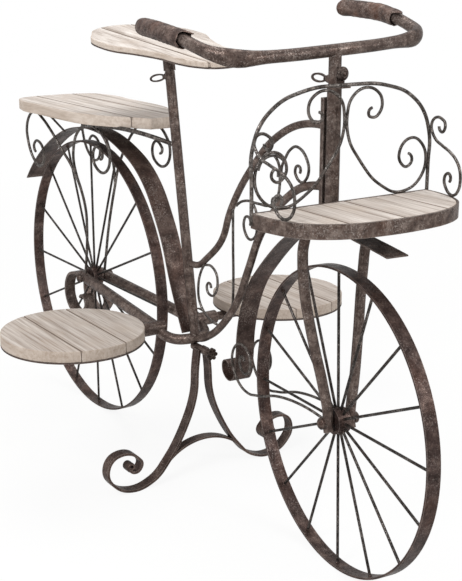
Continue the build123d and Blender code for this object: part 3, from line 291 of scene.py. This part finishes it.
def limewashedFir(name, look):
    # colour: three tones by stretched noises, with the streaks, rims, knots, dirt and the painted shade of
    # low boards mixed over it in turn, each by its own mask
    material = bpy.data.materials.new(name)
    tree = emptyTree(material)
    place = addNode(tree, "ShaderNodeTexCoord").outputs["Object"]
    # tone, share of painted shade for low boards, way to the rim and way to a joint, kept on the points
    tone, paintedShadeShare, rimWay, seamWay = (
        addNode(tree, "ShaderNodeAttribute", attribute_name=mark).outputs["Fac"]
        for mark in ("boardTone", "boardShade", "edgeWay", "seamWay"))
    # each board is cut from another place in the log
    apart = addNode(tree, "ShaderNodeCombineXYZ", {"X": tone, "Z": tone})
    log = addNode(tree, "ShaderNodeVectorMath", {0: place, 1: apart.outputs["Vector"]},
                  operation="ADD").outputs["Vector"]
    rings, bands, pores = (
        addNode(tree, "ShaderNodeMapping", {"Vector": log, "Scale": [1 / (size * mm) for size in look[kind]]})
        for kind in ("rings", "bands", "pores"))
    line = addNode(tree, "ShaderNodeTexNoise", {"Vector": rings.outputs["Vector"], "Scale": 1.0,
                                                "Detail": 6.0, "Roughness": 0.62, "Distortion": 0.25})
    band = addNode(tree, "ShaderNodeTexNoise", {"Vector": bands.outputs["Vector"], "Scale": 1.0,
                                                "Detail": 3.0})
    pore = addNode(tree, "ShaderNodeTexNoise", {"Vector": pores.outputs["Vector"], "Scale": 1.0,
                                                "Detail": 3.0, "Roughness": 0.55})
    both = addNode(tree, "ShaderNodeMix",
                   {"Factor": 0.36, "A": line.outputs["Fac"], "B": band.outputs["Fac"]}, data_type="FLOAT")
    wood = fillRamp(addNode(tree, "ShaderNodeValToRGB", {"Fac": both.outputs["Result"]}),
                    [(0.36, look["line"]), (0.48, look["body"]), (0.62, look["wash"])])
    # dirt held in the pores, with more dark in them on the low boards as painted shade
    deep = addNode(tree, "ShaderNodeMapRange", {"Value": paintedShadeShare, "To Min": 0.34, "To Max": 0.72})
    held = addNode(tree, "ShaderNodeMapRange",
                   {"Value": pore.outputs["Fac"], "From Min": 0.53, "From Max": 0.68,
                    "To Max": deep.outputs["Result"]})
    # warm wood where the wash is thin and on the rubbed rims
    cloud = addNode(tree, "ShaderNodeTexNoise",
                    {"Vector": log, "Scale": 1 / (look["thinWash"] * mm), "Detail": 4.0})
    thin = addNode(tree, "ShaderNodeMapRange",
                   {"Value": cloud.outputs["Fac"], "From Min": 0.5, "From Max": 0.75, "To Max": 0.4})
    rim = addNode(tree, "ShaderNodeMapRange",
                  {"Value": rimWay, "From Min": look["rubbed"] * mm, "From Max": 0.0, "To Max": 0.55})
    worn = addNode(tree, "ShaderNodeMath", {0: thin.outputs["Result"], 1: rim.outputs["Result"]},
                   operation="MAXIMUM")
    # a knot is the middle of a cell
    spots = addNode(tree, "ShaderNodeTexVoronoi", {"Vector": log, "Scale": 1 / (look["knots"] * mm)})
    knot = addNode(tree, "ShaderNodeMapRange",
                   {"Value": spots.outputs["Distance"], "From Min": 0.028, "From Max": 0.018, "To Max": 0.6})
    # dirt in the open joints, seen from above only
    jointEnd, jointFull = look["joint"]
    inJoint = addNode(tree, "ShaderNodeMapRange",
                      {"Value": seamWay, "From Min": jointEnd * mm, "From Max": jointFull * mm,
                       "To Max": 0.8})
    facing = addNode(tree, "ShaderNodeSeparateXYZ",
                     {"Vector": addNode(tree, "ShaderNodeNewGeometry").outputs["Normal"]})
    onTop = addNode(tree, "ShaderNodeMapRange",
                    {"Value": facing.outputs["Z"], "From Min": 0.02, "From Max": 0.3})
    dirty = addNode(tree, "ShaderNodeMapRange",
                    {"Value": onTop.outputs["Result"], "To Max": inJoint.outputs["Result"]})
    # painted shade: boards that stand low under the frame are drawn greyer and darker
    grey = addNode(tree, "ShaderNodeMapRange", {"Value": paintedShadeShare, "To Max": 0.3})
    colour = wood
    for mask, over in ((held.outputs["Result"], "streak"), (worn.outputs["Value"], "rim"),
                       (knot.outputs["Result"], "knot"), (dirty.outputs["Result"], "dirt"),
                       (grey.outputs["Result"], "streak")):
        colour = addNode(tree, "ShaderNodeMix", {"Factor": mask, "A": colour, "B": linearColour(look[over])},
                         data_type="RGBA").outputs["Result"]
    raised = addNode(tree, "ShaderNodeBump",
                     {"Height": line.outputs["Fac"], "Distance": look["raised"] * mm, "Strength": 0.6})
    shader = addNode(tree, "ShaderNodeBsdfPrincipled",
                     {"Base Color": colour, "Roughness": 0.72, "IOR": 1.45, "Specular IOR Level": 0.35,
                      "Normal": raised.outputs["Normal"]})
    addNode(tree, "ShaderNodeOutputMaterial", {"Surface": shader.outputs["BSDF"]})
    return material


finishes = {slotName: agedEnamel("enamel_" + slotName, look) for slotName, look in ironLook.items()}
finishes["plank"] = limewashedFir("limewashed_fir", washLook)
for nodeName, node in frame["nodes"].items():
    for slot in node.material_slots:
        slot.material = finishes[otherFinish.get(nodeName, slot.material.name.split(".")[0])]
print("finishes made,", len(finishes))

boardLook = {
    "seams": {  # lines between boards, metres along y
        "rear_shelf_planks": (-0.040, 0.040),
        "front_shelf_planks": (-0.088, 0.0, 0.088),
        "saddle_planks": (-0.031, 0.031),
        "right_shelf_planks": (-0.258, -0.176),
        "left_shelf_planks": (0.176, 0.258),
    },
    # how much painted shade a board gets for standing low under the frame, from 0 to 1
    "paintedShadeShare": {"right_shelf_planks": 0.9, "left_shelf_planks": 0.9, "front_shelf_planks": 0.3},
    "gap": 1.5 * mm,            # between boards
    "rounding": 1.3 * mm,       # rubbed edges
    "wander": 0.7 * mm,         # how far the saw strayed at the ends
    "strayLengths": (50 * mm, 30 * mm),  # of the waves in its way
    "relief": 0.22 * mm,        # how high the brushed grain stands
    "grainLengths": (300 * mm, 6 * mm),  # of its waves, along and across the board
    "inside": 0.05 * mm,        # keeps the outermost row within the outline
    "logSteps": (0.37, 0.11),   # metres in the log from board to board and from shelf to shelf
    "rows": 46, "cols": 96,
}


def nodeTriangles(nodeName):
    # the corners of a node's triangles, and their unit normals by the cross product of two sides
    mesh = frame["nodes"][nodeName].data
    mesh.calc_loop_triangles()
    places = np.zeros(len(mesh.vertices) * 3, np.float32)
    mesh.vertices.foreach_get("co", places)
    index = np.zeros(len(mesh.loop_triangles) * 3, np.int32)
    mesh.loop_triangles.foreach_get("vertices", index)
    corners = places.reshape(-1, 3).astype(float)[index].reshape(-1, 3, 3)
    normals = np.cross(corners[:, 1] - corners[:, 0], corners[:, 2] - corners[:, 0])
    lengths = np.maximum(np.linalg.norm(normals, axis=1), 1e-15)  # never zero, for a triangle without area
    return corners, normals / lengths[:, None]


def facePlane(corners, normals, up):
    # least-squares plane z = a + b x + c y through the triangles that face up, or down where up is -1
    nearlyLevel = normals[:, 2] * up > 0.8
    chosen = corners[nearlyLevel].reshape(-1, 3)
    sums = np.c_[np.ones(len(chosen)), chosen[:, 0], chosen[:, 1]]
    return np.linalg.lstsq(sums, chosen[:, 2], rcond=None)[0]


def outlineAt(edges, rows):
    # where a line at each y crosses the node's edges: the least and the greatest x
    y0, y1 = edges[:, 0, 1][None], edges[:, 1, 1][None]
    x0, x1 = edges[:, 0, 0][None], edges[:, 1, 0][None]
    line = rows[:, None]
    sloped = np.abs(y1 - y0) > 1e-9  # an edge along the line is met by its neighbours
    meets = (np.minimum(y0, y1) <= line) & (np.maximum(y0, y1) >= line) & sloped
    cross = x0 + (line - y0) / np.where(sloped, y1 - y0, 1) * (x1 - x0)
    return np.where(meets, cross, np.inf).min(1), np.where(meets, cross, -np.inf).max(1)


rimShares = np.array([0, 0.18, 0.5, 1, 2.4])  # where grid lines crowd near a rim, in roundings


def edgeLines(length, rounding, inner):
    # metres from a line's start that crowd towards both ends, with inner ones evenly between; where the
    # line is short, the crowded ones share half of it evenly
    evenly = length[:, None] / 2 * np.arange(len(rimShares)) / len(rimShares)
    half = np.minimum(rimShares * rounding, evenly)
    middle = half[:, -1:] + (length[:, None] - 2 * half[:, -1:]) * np.linspace(0, 1, inner + 2)[1:-1]
    return np.concatenate([half, middle, length[:, None] - half[:, ::-1]], 1)


def sawnOff(rows, seed, look):
    # how far a board's end falls short of the outline: half the wander, more or less by waves
    return look["wander"] * (0.5 + 0.5 * waves(rows, rows, seed, *look["strayLengths"]))


def boardGrid(edges, first, last, outer, look, seed):
    # x, y and the way to the nearest rim at a board's points: rows run from end to end of the outline,
    # and on an outer board, whose outer is -1 or 1, they crowd to that side by a quarter sine
    rows = first + edgeLines(np.array([last - first]), look["rounding"], look["rows"])[0]
    if outer:
        quarter = np.linspace(0, np.pi / 2, look["rows"])
        share = np.sin(quarter) if outer > 0 else 1 - np.cos(quarter)
        rows = np.unique(np.concatenate([rows, first + (last - first) * share]))
    low, high = outlineAt(edges, rows)
    low, high = low + sawnOff(rows, seed, look), high - sawnOff(rows, seed + 40, look)  # seeds far apart
    length = np.maximum(high - low, 0)
    along = edgeLines(length, look["rounding"], look["cols"])
    y = np.repeat(rows[:, None], along.shape[1], 1)
    leanLow, leanHigh = np.gradient(low, rows), np.gradient(high, rows)
    way = np.minimum(along / np.sqrt(1 + leanLow ** 2)[:, None],
                     (length[:, None] - along) / np.sqrt(1 + leanHigh ** 2)[:, None])
    return low[:, None] + along, y, np.minimum(np.minimum(way, y - first), last - y)


def boardFaces(rows, cols, start):
    # faces of two grids of rows x cols points, the second turned over, and of the wall between their rims
    size = rows * cols
    place = np.arange(size).reshape(rows, cols)
    ring = np.concatenate([place[0, :-1], place[:-1, -1], place[-1, :0:-1], place[:0:-1, 0]])
    nextOne = np.roll(ring, -1)
    wall = np.stack([ring, nextOne, nextOne + size, ring + size], -1)
    return [gridQuads(rows, cols, start), gridQuads(rows, cols, start + size)[:, ::-1], wall + start]


def makeBoards(nodeName, seams, look, seed):
    # each board is two grids over the node's outline, on the planes of its top and bottom, whose rims
    # drop by a quarter circle of the way to the rim; the top also stands up along the grain
    corners, normals = nodeTriangles(nodeName)
    edges = np.concatenate([corners[:, [0, 1]], corners[:, [1, 2]], corners[:, [2, 0]]])
    above, below = facePlane(corners, normals, 1), facePlane(corners, normals, -1)
    margin = look["gap"] / 2 - look["inside"]
    sides = [corners[..., 1].min() - margin, *seams, corners[..., 1].max() + margin]
    rounding, relief = look["rounding"], look["relief"]
    boardStep, shelfStep = look["logSteps"]
    points, faces, tones, rimWays, seamWays, count = [], [], [], [], [], 0
    for number, (left, right) in enumerate(zip(sides[:-1], sides[1:])):
        first, last = left + look["gap"] / 2, right - look["gap"] / 2
        outer = {0: -1, len(sides) - 2: 1}.get(number, 0)
        x, y, way = boardGrid(edges, first, last, outer, look, seed + number)
        drop = rounding - np.sqrt(rounding ** 2 - (rounding - np.clip(way, 0, rounding)) ** 2)
        grain = waves(x, y, seed + 7 + number, *look["grainLengths"], count=9) * relief
        top = above[0] + above[1] * x + above[2] * y - drop - relief + grain
        bottom = below[0] + below[1] * x + below[2] * y + drop
        points += [np.stack([x, y, z], -1).reshape(-1, 3) for z in (top, bottom)]
        faces += boardFaces(*x.shape, count)
        noSeam = np.ones_like(y)  # metres, so far that no dirt shows on an outer side
        toSeam = np.minimum(noSeam if outer < 0 else y - first, noSeam if outer > 0 else last - y)
        rimWays.append(np.tile(way.ravel(), 2))
        seamWays.append(np.tile(toSeam.ravel(), 2))
        tones.append(np.full(x.size * 2, boardStep * (number + 1) + shelfStep * seed))
        count += x.size * 2
    # the low side shelves' boards carry their share of painted shade as a mark on the points
    piece = makePiece(nodeName.replace("planks", "boards"), np.concatenate(points), np.concatenate(faces),
                      "plank", bodyOf[nodeName],
                      boardTone=np.concatenate(tones), edgeWay=np.concatenate(rimWays),
                      seamWay=np.concatenate(seamWays),
                      boardShade=np.full(count, look["paintedShadeShare"].get(nodeName, 0.0)))
    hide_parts(nodeName)


for seed, (nodeName, seams) in enumerate(boardLook["seams"].items(), 3):
    makeBoards(nodeName, seams, boardLook, seed)
print("boards made")

barPlace = {"origin": (395.0, 0.0, 785.0), "roll": 3.0}  # middle of the bar in mm, and degrees about x


def curveThrough(points, samples):
    # Catmull-Rom curve: each span is a cubic of its four nearest points
    padded = np.vstack([2 * points[0] - points[1], points, 2 * points[-1] - points[-2]])
    where = np.linspace(0, len(points) - 1 - 1e-9, samples)  # the last one stays in the last span
    span = where.astype(int)
    t = (where - span)[:, None]
    a, b, c, d = (padded[span + k] for k in range(4))
    squared, cubed = (2 * a - 5 * b + 4 * c - d) * t ** 2, (3 * b - a - 3 * c + d) * t ** 3
    return 0.5 * (2 * b + (c - a) * t + squared + cubed)


def framesAlong(path):
    # tangent, side and up at each point: side is level, across the tangent, and up is across both
    tangent = np.gradient(path, axis=0)
    tangent /= np.linalg.norm(tangent, axis=1)[:, None]
    side = np.cross(tangent, (0.0, 0.0, 1.0))
    side /= np.linalg.norm(side, axis=1)[:, None]
    return tangent, side, np.cross(side, tangent)


def barPath(route, mirror, samples):
    # curve through a route on one side of the bar, rolled about x, and the way run at each of its points
    path = curveThrough(np.array(route) * (1, mirror, 1), samples)
    turn = math.radians(barPlace["roll"])
    x, y, z = path.T
    rolled = [x, y * math.cos(turn) - z * math.sin(turn), y * math.sin(turn) + z * math.cos(turn)]
    path = np.stack(rolled, -1) + barPlace["origin"]
    return path, np.concatenate([[0], np.cumsum(np.linalg.norm(np.diff(path, axis=0), axis=1))])


gripLook = {  # beaten tubes drawn over the bar ends, open at the mouth, in mm
    "route": [(-92.5, 192.9, 26.2), (-136.0, 195.7, 33.2), (-193.3, 190.4, 37.7), (-211.9, 187.2, 38.0)],
    "radius": 13.0, "wall": 1.6,
    "cup": (16.0, 9.1),             # hollow of the mouth: how deep, and its floor's bore round the bar
    "spike": (17.0, 1.2, 0.42),     # torn lip: length, where round the tube and how wide, radians
    "ragged": (1.6, 1.1, 0.6),      # the rest of the lip: height, length in radians, rounding
    "swell": 0.035,                 # how much thicker in the middle, as a share of the radius
    "dent": 0.45,                   # depth of the hammer marks
    "hammer": (14.0, 12.0),         # their lengths along and round the tube
    "startShare": 0.02,             # of the run, where the rows of the outer wall start
    "samples": 200, "cols": 56, "rows": 90, "domeRows": 14,
}


def makeGrip(name, mirror, look, seed):
    # profile carried along the bar end at each angle: cup floor, inner wall, lip, outer wall, round tip;
    # the lip is a bell curve with waves, and the outer radius swells by half a sine and has waves
    path, run = barPath(look["route"], mirror, look["samples"])
    full, radius = run[-1], look["radius"]
    inner = radius - look["wall"]
    cup, bore = look["cup"]
    raggedHigh, raggedLong, lipRound = look["ragged"]
    spikeLong, spikeAt, spikeWide = look["spike"]
    angle = np.linspace(0, 2 * np.pi, look["cols"], endpoint=False)[None]
    off = np.angle(np.exp(1j * (angle - (spikeAt if mirror < 0 else np.pi - spikeAt))))
    lip = raggedHigh * waves(angle, angle * 0, seed, raggedLong, 1, count=5)
    lip = lip - spikeLong * np.exp(-(off / spikeWide) ** 2)
    # (place along the run, radius); the places before the cup's floor count from the lip
    inside = [(cup, bore), (cup, inner), (cup / 2, inner), (0.0, inner),
              (-lipRound, radius - look["wall"] / 2), (0.0, radius)]
    share = np.linspace(look["startShare"], 1, look["rows"])[:, None]
    outside = lip + (full - lip) * share
    around = angle * radius + outside * 0
    beaten = radius * (1 + look["swell"] * np.sin(np.pi * share))
    beaten = beaten + look["dent"] * waves(outside, around, seed + 5, *look["hammer"], count=9)
    dome = np.linspace(0, np.pi / 2, look["domeRows"])[1:, None]
    at = np.concatenate([*(lip * (place < cup) + place for place, _ in inside), outside,
                         full + radius * np.sin(dome) + lip * 0])
    size = np.concatenate([*(np.full_like(lip, width) for _, width in inside), beaten,
                           beaten[-1:] * np.cos(dome)])
    held = np.clip(at, 0, full)
    middle, tangent, side, up = (np.stack([np.interp(held, run, part[:, axis]) for axis in range(3)], -1)
                                 for part in (path, *framesAlong(path)))
    ring = np.cos(angle)[..., None] * side + np.sin(angle)[..., None] * up
    points = (middle + tangent * (at - held)[..., None] + ring * size[..., None]) * mm
    return makePiece(name, points.reshape(-1, 3), gridQuads(*at.shape, closed=True), "grip_iron",
                     bodyOf["grips"])


grips = [makeGrip("right_grip_shell", -1, gripLook, 11), makeGrip("left_grip_shell", 1, gripLook, 12)]
for grip in grips:
    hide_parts("grips")
print("grips made")

bendLook = {  # the bar's outer bends, flattened where the tube was bent by hand, in mm
    "route": [(-4.2, 99.8, 0.4), (-12.5, 153.9, 1.9), (-33.0, 181.5, 9.2), (-63.1, 190.6, 18.0),
              (-92.5, 192.9, 26.2)],
    "middle": 62.0, "reach": 30.0,  # where along the route it is flattest, and over what length
    "flattened": (0.9, 3.6),        # how much wider across and up
    "radius": 9.03,                 # just outside the tube's 9 mm
    "dent": 0.25, "hammer": (12.0, 11.0),  # depth and lengths of the hammer marks
    "rows": 110, "cols": 40,
}


def makeBend(name, mirror, look, seed):
    # ring carried along the bend; its radii grow by a bell curve of the way to the middle, mostly upwards
    path, run = barPath(look["route"], mirror, look["rows"])
    bell = np.exp(-((run - look["middle"]) / look["reach"]) ** 2)[:, None]
    angle = np.linspace(0, 2 * np.pi, look["cols"], endpoint=False)[None]
    dents = waves(run[:, None] + angle * 0, angle * look["radius"], seed, *look["hammer"], count=8)
    across, upward = (look["radius"] + more * bell + look["dent"] * bell * dents
                      for more in look["flattened"])
    side, up = framesAlong(path)[1:]
    points = (path[:, None] + (np.cos(angle) * across)[..., None] * side[:, None]
              + (np.sin(angle) * upward)[..., None] * up[:, None])
    makePiece(name, points.reshape(-1, 3) * mm, gridQuads(*dents.shape, closed=True), "tube_iron",
              bodyOf["handlebar"])


makeBend("right_bar_bend", -1, bendLook, 31)
makeBend("left_bar_bend", 1, bendLook, 32)
print("bar bends made")

knobLook = {
    # (share of the length, share of the radius) from the screw to the tip in the hollow of the head
    "profile": [(0, 0.0), (0, 0.34), (0.3, 0.34), (0.34, 0.72), (0.42, 0.8), (0.48, 0.74), (0.52, 0.9),
                (0.56, 1.0), (0.66, 1.0), (0.72, 0.94), (0.78, 0.78), (0.84, 0.64), (0.9, 0.56), (0.93, 0.5),
                (0.9, 0.4), (0.84, 0.36), (0.86, 0.3), (0.94, 0.27), (0.99, 0.16), (1.0, 0.0)],
    "rows": 80, "cols": 48,
}


def makeKnob(name, nodeName, look):
    # the profile turned round the screw's axis, which runs along x
    low, high = (np.array(corner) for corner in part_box(nodeName))
    middle, radius = (low + high) / 2, (high[2] - low[2]) / 2
    shares = curveThrough(np.array([(*share, 0.0) for share in look["profile"]]), look["rows"])
    angle = np.linspace(0, 2 * np.pi, look["cols"], endpoint=False)
    size = np.maximum(shares[:, 1], 0)[:, None] * radius
    x = low[0] + np.clip(shares[:, 0], 0, 1)[:, None] * (high[0] - low[0]) + angle * 0
    points = np.stack([x, middle[1] + size * np.cos(angle), middle[2] + size * np.sin(angle)], -1)
    piece = makePiece(name, points.reshape(-1, 3), gridQuads(*x.shape, closed=True), "bolt_iron",
                      bodyOf[nodeName])
    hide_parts(nodeName)


makeKnob("bar_round_knob", "bar_knob", knobLook)
print("bar knob made")

beadLook = {  # beads where the spokes are welded to hoop and hub
    "count": 16, "rows": 7, "cols": 10,
    "size": 3.6 * mm, "hubShare": 0.8,  # radius at the hoop, and at the hub as a share of that
    "hoopWall": 3.5 * mm,       # from the rim's outside in to the beads
    "turn": {"rear": 0, "front": -6.2},  # degrees of the wheel's steering
    "phase": {"rear": 0, "front": 2.3},  # degrees of its first spoke
    "lumps": (0.22, 3, 6),      # waves on a bead: height as a share, how many, greatest shift in radians
    "sizes": (0.8, 1.15),       # least and greatest share of the size
    "flat": 0.7,                # its length along the spoke, as a share
}


def beadRing(centre, end, radius, size, seed, look):
    # beads on an upright circle: each is a sphere flattened along the spoke, with waves round its radius
    random = np.random.default_rng(seed)
    way, phase = math.radians(look["turn"][end]), math.radians(look["phase"][end])
    count, rows, cols = look["count"], look["rows"], look["cols"]
    step = np.arange(count) * 2 * np.pi / count + phase
    ahead = np.array([math.cos(way), math.sin(way), 0])
    outward = np.cos(step)[:, None] * ahead + np.sin(step)[:, None] * np.array([0, 0, 1.0])
    across = np.array([-math.sin(way), math.cos(way), 0])
    along = np.cross(outward, across)
    polar = np.linspace(0, np.pi, rows)[None, :, None]
    around = np.linspace(0, 2 * np.pi, cols, endpoint=False)[None, None]
    high, many, shift = look["lumps"]
    wave = np.sin(many * around + random.uniform(0, shift, (count, 1, 1)))
    lump = size * (1 + high * wave * np.sin(polar))
    lump = lump * random.uniform(*look["sizes"], (count, 1, 1))
    a = lump * np.cos(polar) * look["flat"]
    b = lump * np.sin(polar) * np.cos(around)
    c = lump * np.sin(polar) * np.sin(around)
    base = centre + outward * radius
    points = (base[:, None, None] + a[..., None] * outward[:, None, None]
              + b[..., None] * across + c[..., None] * along[:, None, None])
    faces = np.concatenate([gridQuads(rows, cols, rows * cols * k, closed=True) for k in range(count)])
    return points.reshape(-1, 3), faces


def makeBeads(end, look):
    # one ring of beads inside the hoop and one on the hub
    low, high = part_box(end + "_hub")
    rimLow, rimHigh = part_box(end + "_rim")
    centre = np.array((low + high) / 2)
    hoopRadius, hubRadius = (rimHigh.z - rimLow.z) / 2 - look["hoopWall"], (high.z - low.z) / 2
    outer, outerFaces = beadRing(centre, end, hoopRadius, look["size"], 21, look)
    inner, innerFaces = beadRing(centre, end, hubRadius, look["size"] * look["hubShare"], 22, look)
    makePiece(end + "_weld_beads", np.concatenate([outer, inner]),
              np.concatenate([outerFaces, innerFaces + len(outer)]), "wheel_iron", bodyOf[end + "_rim"])


makeBeads("rear", beadLook)
makeBeads("front", beadLook)
print("weld beads made")

eyeLook = {  # strips wound up inside the rolled feet of the stand, in mm
    "start": (154.4, 41.9), "heading": (0.86, 0.51),  # y and z where the winding begins, and its way there
    "radius": 7.4, "inner": 2.6, "turns": 1.25,
    "width": 20.0, "thickness": 4.6,
    "square": 0.35,                 # power that squares the section: 1 is an ellipse, 0 a rectangle
    "before": 0.03, "closing": 0.02,  # shares of the winding: its run-up, and the rounding of its ends
    "along": 60, "round": 28,
}


def makeEyes(look):
    # strip wound in a spiral whose radius falls evenly with the angle; its section is a rounded rectangle
    low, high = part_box("right_stand_leg")
    middle = (low.x + high.x) / 2 / mm
    start = np.array(look["start"])
    centre = start + np.array([-look["heading"][1], look["heading"][0]]) * look["radius"]
    first = math.atan2(*(start - centre)[::-1])
    share = np.linspace(-look["before"], 1, look["along"])
    angle = first + share * look["turns"] * 2 * np.pi
    radius = look["radius"] + (look["inner"] - look["radius"]) * np.clip(share, 0, 1)
    part = np.linspace(0, 2 * np.pi, look["round"], endpoint=False)
    across = np.sign(np.cos(part)) * np.abs(np.cos(part)) ** look["square"] * look["width"] / 2
    outward = np.sign(np.sin(part)) * np.abs(np.sin(part)) ** look["square"] * look["thickness"] / 2
    ends = np.clip(np.minimum(share - share[0], share[-1] - share) / look["closing"], 0.0, 1)[:, None]
    reach = radius[:, None] + outward * ends
    y = centre[0] + reach * np.cos(angle)[:, None]
    z = centre[1] + reach * np.sin(angle)[:, None]
    x = middle + across * ends + z * 0
    faces = gridQuads(len(share), len(part), closed=True)
    for name, side in (("right_foot_eye", -1), ("left_foot_eye", 1)):
        points = np.stack([x, side * y, z], -1).reshape(-1, 3) * mm
        makePiece(name, points, faces, "sheet_iron", bodyOf["right_stand_leg"])


makeEyes(eyeLook)
print("foot eyes made")

cameraLook = {  # fitted to the picture: place in metres, angles in degrees, the rest in pixels
    "place": (1.689, -1.030, 0.902), "pitch": 15.85, "yaw": 56.73, "focal": 1148.98,
    "middle": (227.87, 289.84), "image": (462, 581), "sensor": 36,  # sensor in mm
}


def makeCamera(look):
    # the lens is to the sensor as the focal length is to the picture's longer side
    camera = bpy.data.cameras.new("photo_camera")
    wide, tall = look["image"]
    longer = max(wide, tall)
    camera.sensor_width = look["sensor"]
    camera.lens = look["focal"] / longer * look["sensor"]
    camera.shift_x = (wide / 2 - look["middle"][0]) / longer
    camera.shift_y = (look["middle"][1] - tall / 2) / longer
    holder = bpy.data.objects.new("photo_camera", camera)
    holder.location = look["place"]
    holder.rotation_euler = (math.radians(90 - look["pitch"]), 0, math.radians(look["yaw"]))
    bpy.context.scene.collection.objects.link(holder)
    bpy.context.scene.camera = holder


lampLook = {
    "target": (0, 0, 0.4),
    "boxes": {  # soft boxes: place, size in metres, watts
        "key": ((1.2, -2.8, 3.0), 1.3, 92),
        "fill": ((3.0, 1.6, 2.0), 1.2, 30),
        "top": ((-0.6, 0.4, 3.6), 2.6, 56),
    },
}


def makeLamps(look):
    # each soft box looks at the target
    for name, (place, size, watts) in look["boxes"].items():
        lamp = bpy.data.lights.new(name + "_softbox", "AREA")
        lamp.size = size
        lamp.energy = watts
        holder = bpy.data.objects.new(name + "_softbox", lamp)
        holder.location = place
        holder.rotation_euler = (Vector(look["target"]) - Vector(place)).to_track_quat("-Z", "Y").to_euler()
        bpy.context.scene.collection.objects.link(holder)


white = (1, 1, 1, 1)
worldLook = {"strength": 0.46}  # of the light that the surroundings give


def seenDirectly(tree):
    # 1 for rays that show the background: camera, glossy and transmission
    path = addNode(tree, "ShaderNodeLightPath").outputs
    first = addNode(tree, "ShaderNodeMath", {0: path["Is Camera Ray"], 1: path["Is Glossy Ray"]},
                    operation="MAXIMUM")
    return addNode(tree, "ShaderNodeMath", {0: first.outputs["Value"], 1: path["Is Transmission Ray"]},
                   operation="MAXIMUM").outputs["Value"]


def makeWorld(look):
    # white where it is seen, and dimmer as a light
    world = bpy.data.worlds.new("studio")
    bpy.context.scene.world = world
    tree = emptyTree(world)
    power = addNode(tree, "ShaderNodeMapRange",
                    {"Value": seenDirectly(tree), "To Min": look["strength"], "To Max": 1.0})
    sky = addNode(tree, "ShaderNodeBackground", {"Color": white, "Strength": power.outputs["Result"]})
    addNode(tree, "ShaderNodeOutputWorld", {"Surface": sky.outputs["Background"]})


floorLook = {
    # matte white studio paper, which takes a soft shadow and fades to pure white
    "colour": "#f2f2f0",
    "glow": 0.9,                # share of pure white where it is seen near the object
    "near": 0.8, "far": 3.2,    # metres from the middle, over which that share goes to 1
    "reach": 40.0, "cols": 9,   # metres to its edge, and points along a side
    "below": 0.2 * mm,
}


def makeFloor(look):
    # flat square grid; its paper is a mix of matte and glow by the way from the middle
    material = bpy.data.materials.new("pale_floor")
    tree = emptyTree(material)
    matte = addNode(tree, "ShaderNodeBsdfDiffuse", {"Color": linearColour(look["colour"])})
    glow = addNode(tree, "ShaderNodeEmission", {"Color": white, "Strength": 1.0})
    away = addNode(tree, "ShaderNodeVectorMath", {0: addNode(tree, "ShaderNodeTexCoord").outputs["Object"]},
                   operation="LENGTH")
    whiter = addNode(tree, "ShaderNodeMapRange",
                     {"Value": away.outputs["Value"], "From Min": look["near"], "From Max": look["far"],
                      "To Min": look["glow"]})
    share = addNode(tree, "ShaderNodeMath", {0: seenDirectly(tree), 1: whiter.outputs["Result"]},
                    operation="MULTIPLY")
    both = addNode(tree, "ShaderNodeMixShader", {0: share.outputs["Value"], 1: matte.outputs["BSDF"],
                                                 2: glow.outputs["Emission"]})
    addNode(tree, "ShaderNodeOutputMaterial", {"Surface": both.outputs["Shader"]})
    side = np.linspace(-1, 1, look["cols"]) * look["reach"]
    x, y = np.meshgrid(side, side)
    points = np.stack([x, y, x * 0 - look["below"]], -1).reshape(-1, 3)
    mesh = bpy.data.meshes.new("floor")
    mesh.from_pydata(points.tolist(), [], gridQuads(*x.shape).tolist())
    mesh.materials.append(material)
    floor = bpy.data.objects.new("floor", mesh)
    bpy.context.scene.collection.objects.link(floor)


makeCamera(cameraLook)
makeLamps(lampLook)
makeWorld(worldLook)
makeFloor(floorLook)
bpy.context.scene.view_settings.view_transform = "Standard"
print("camera, lamps and floor set")
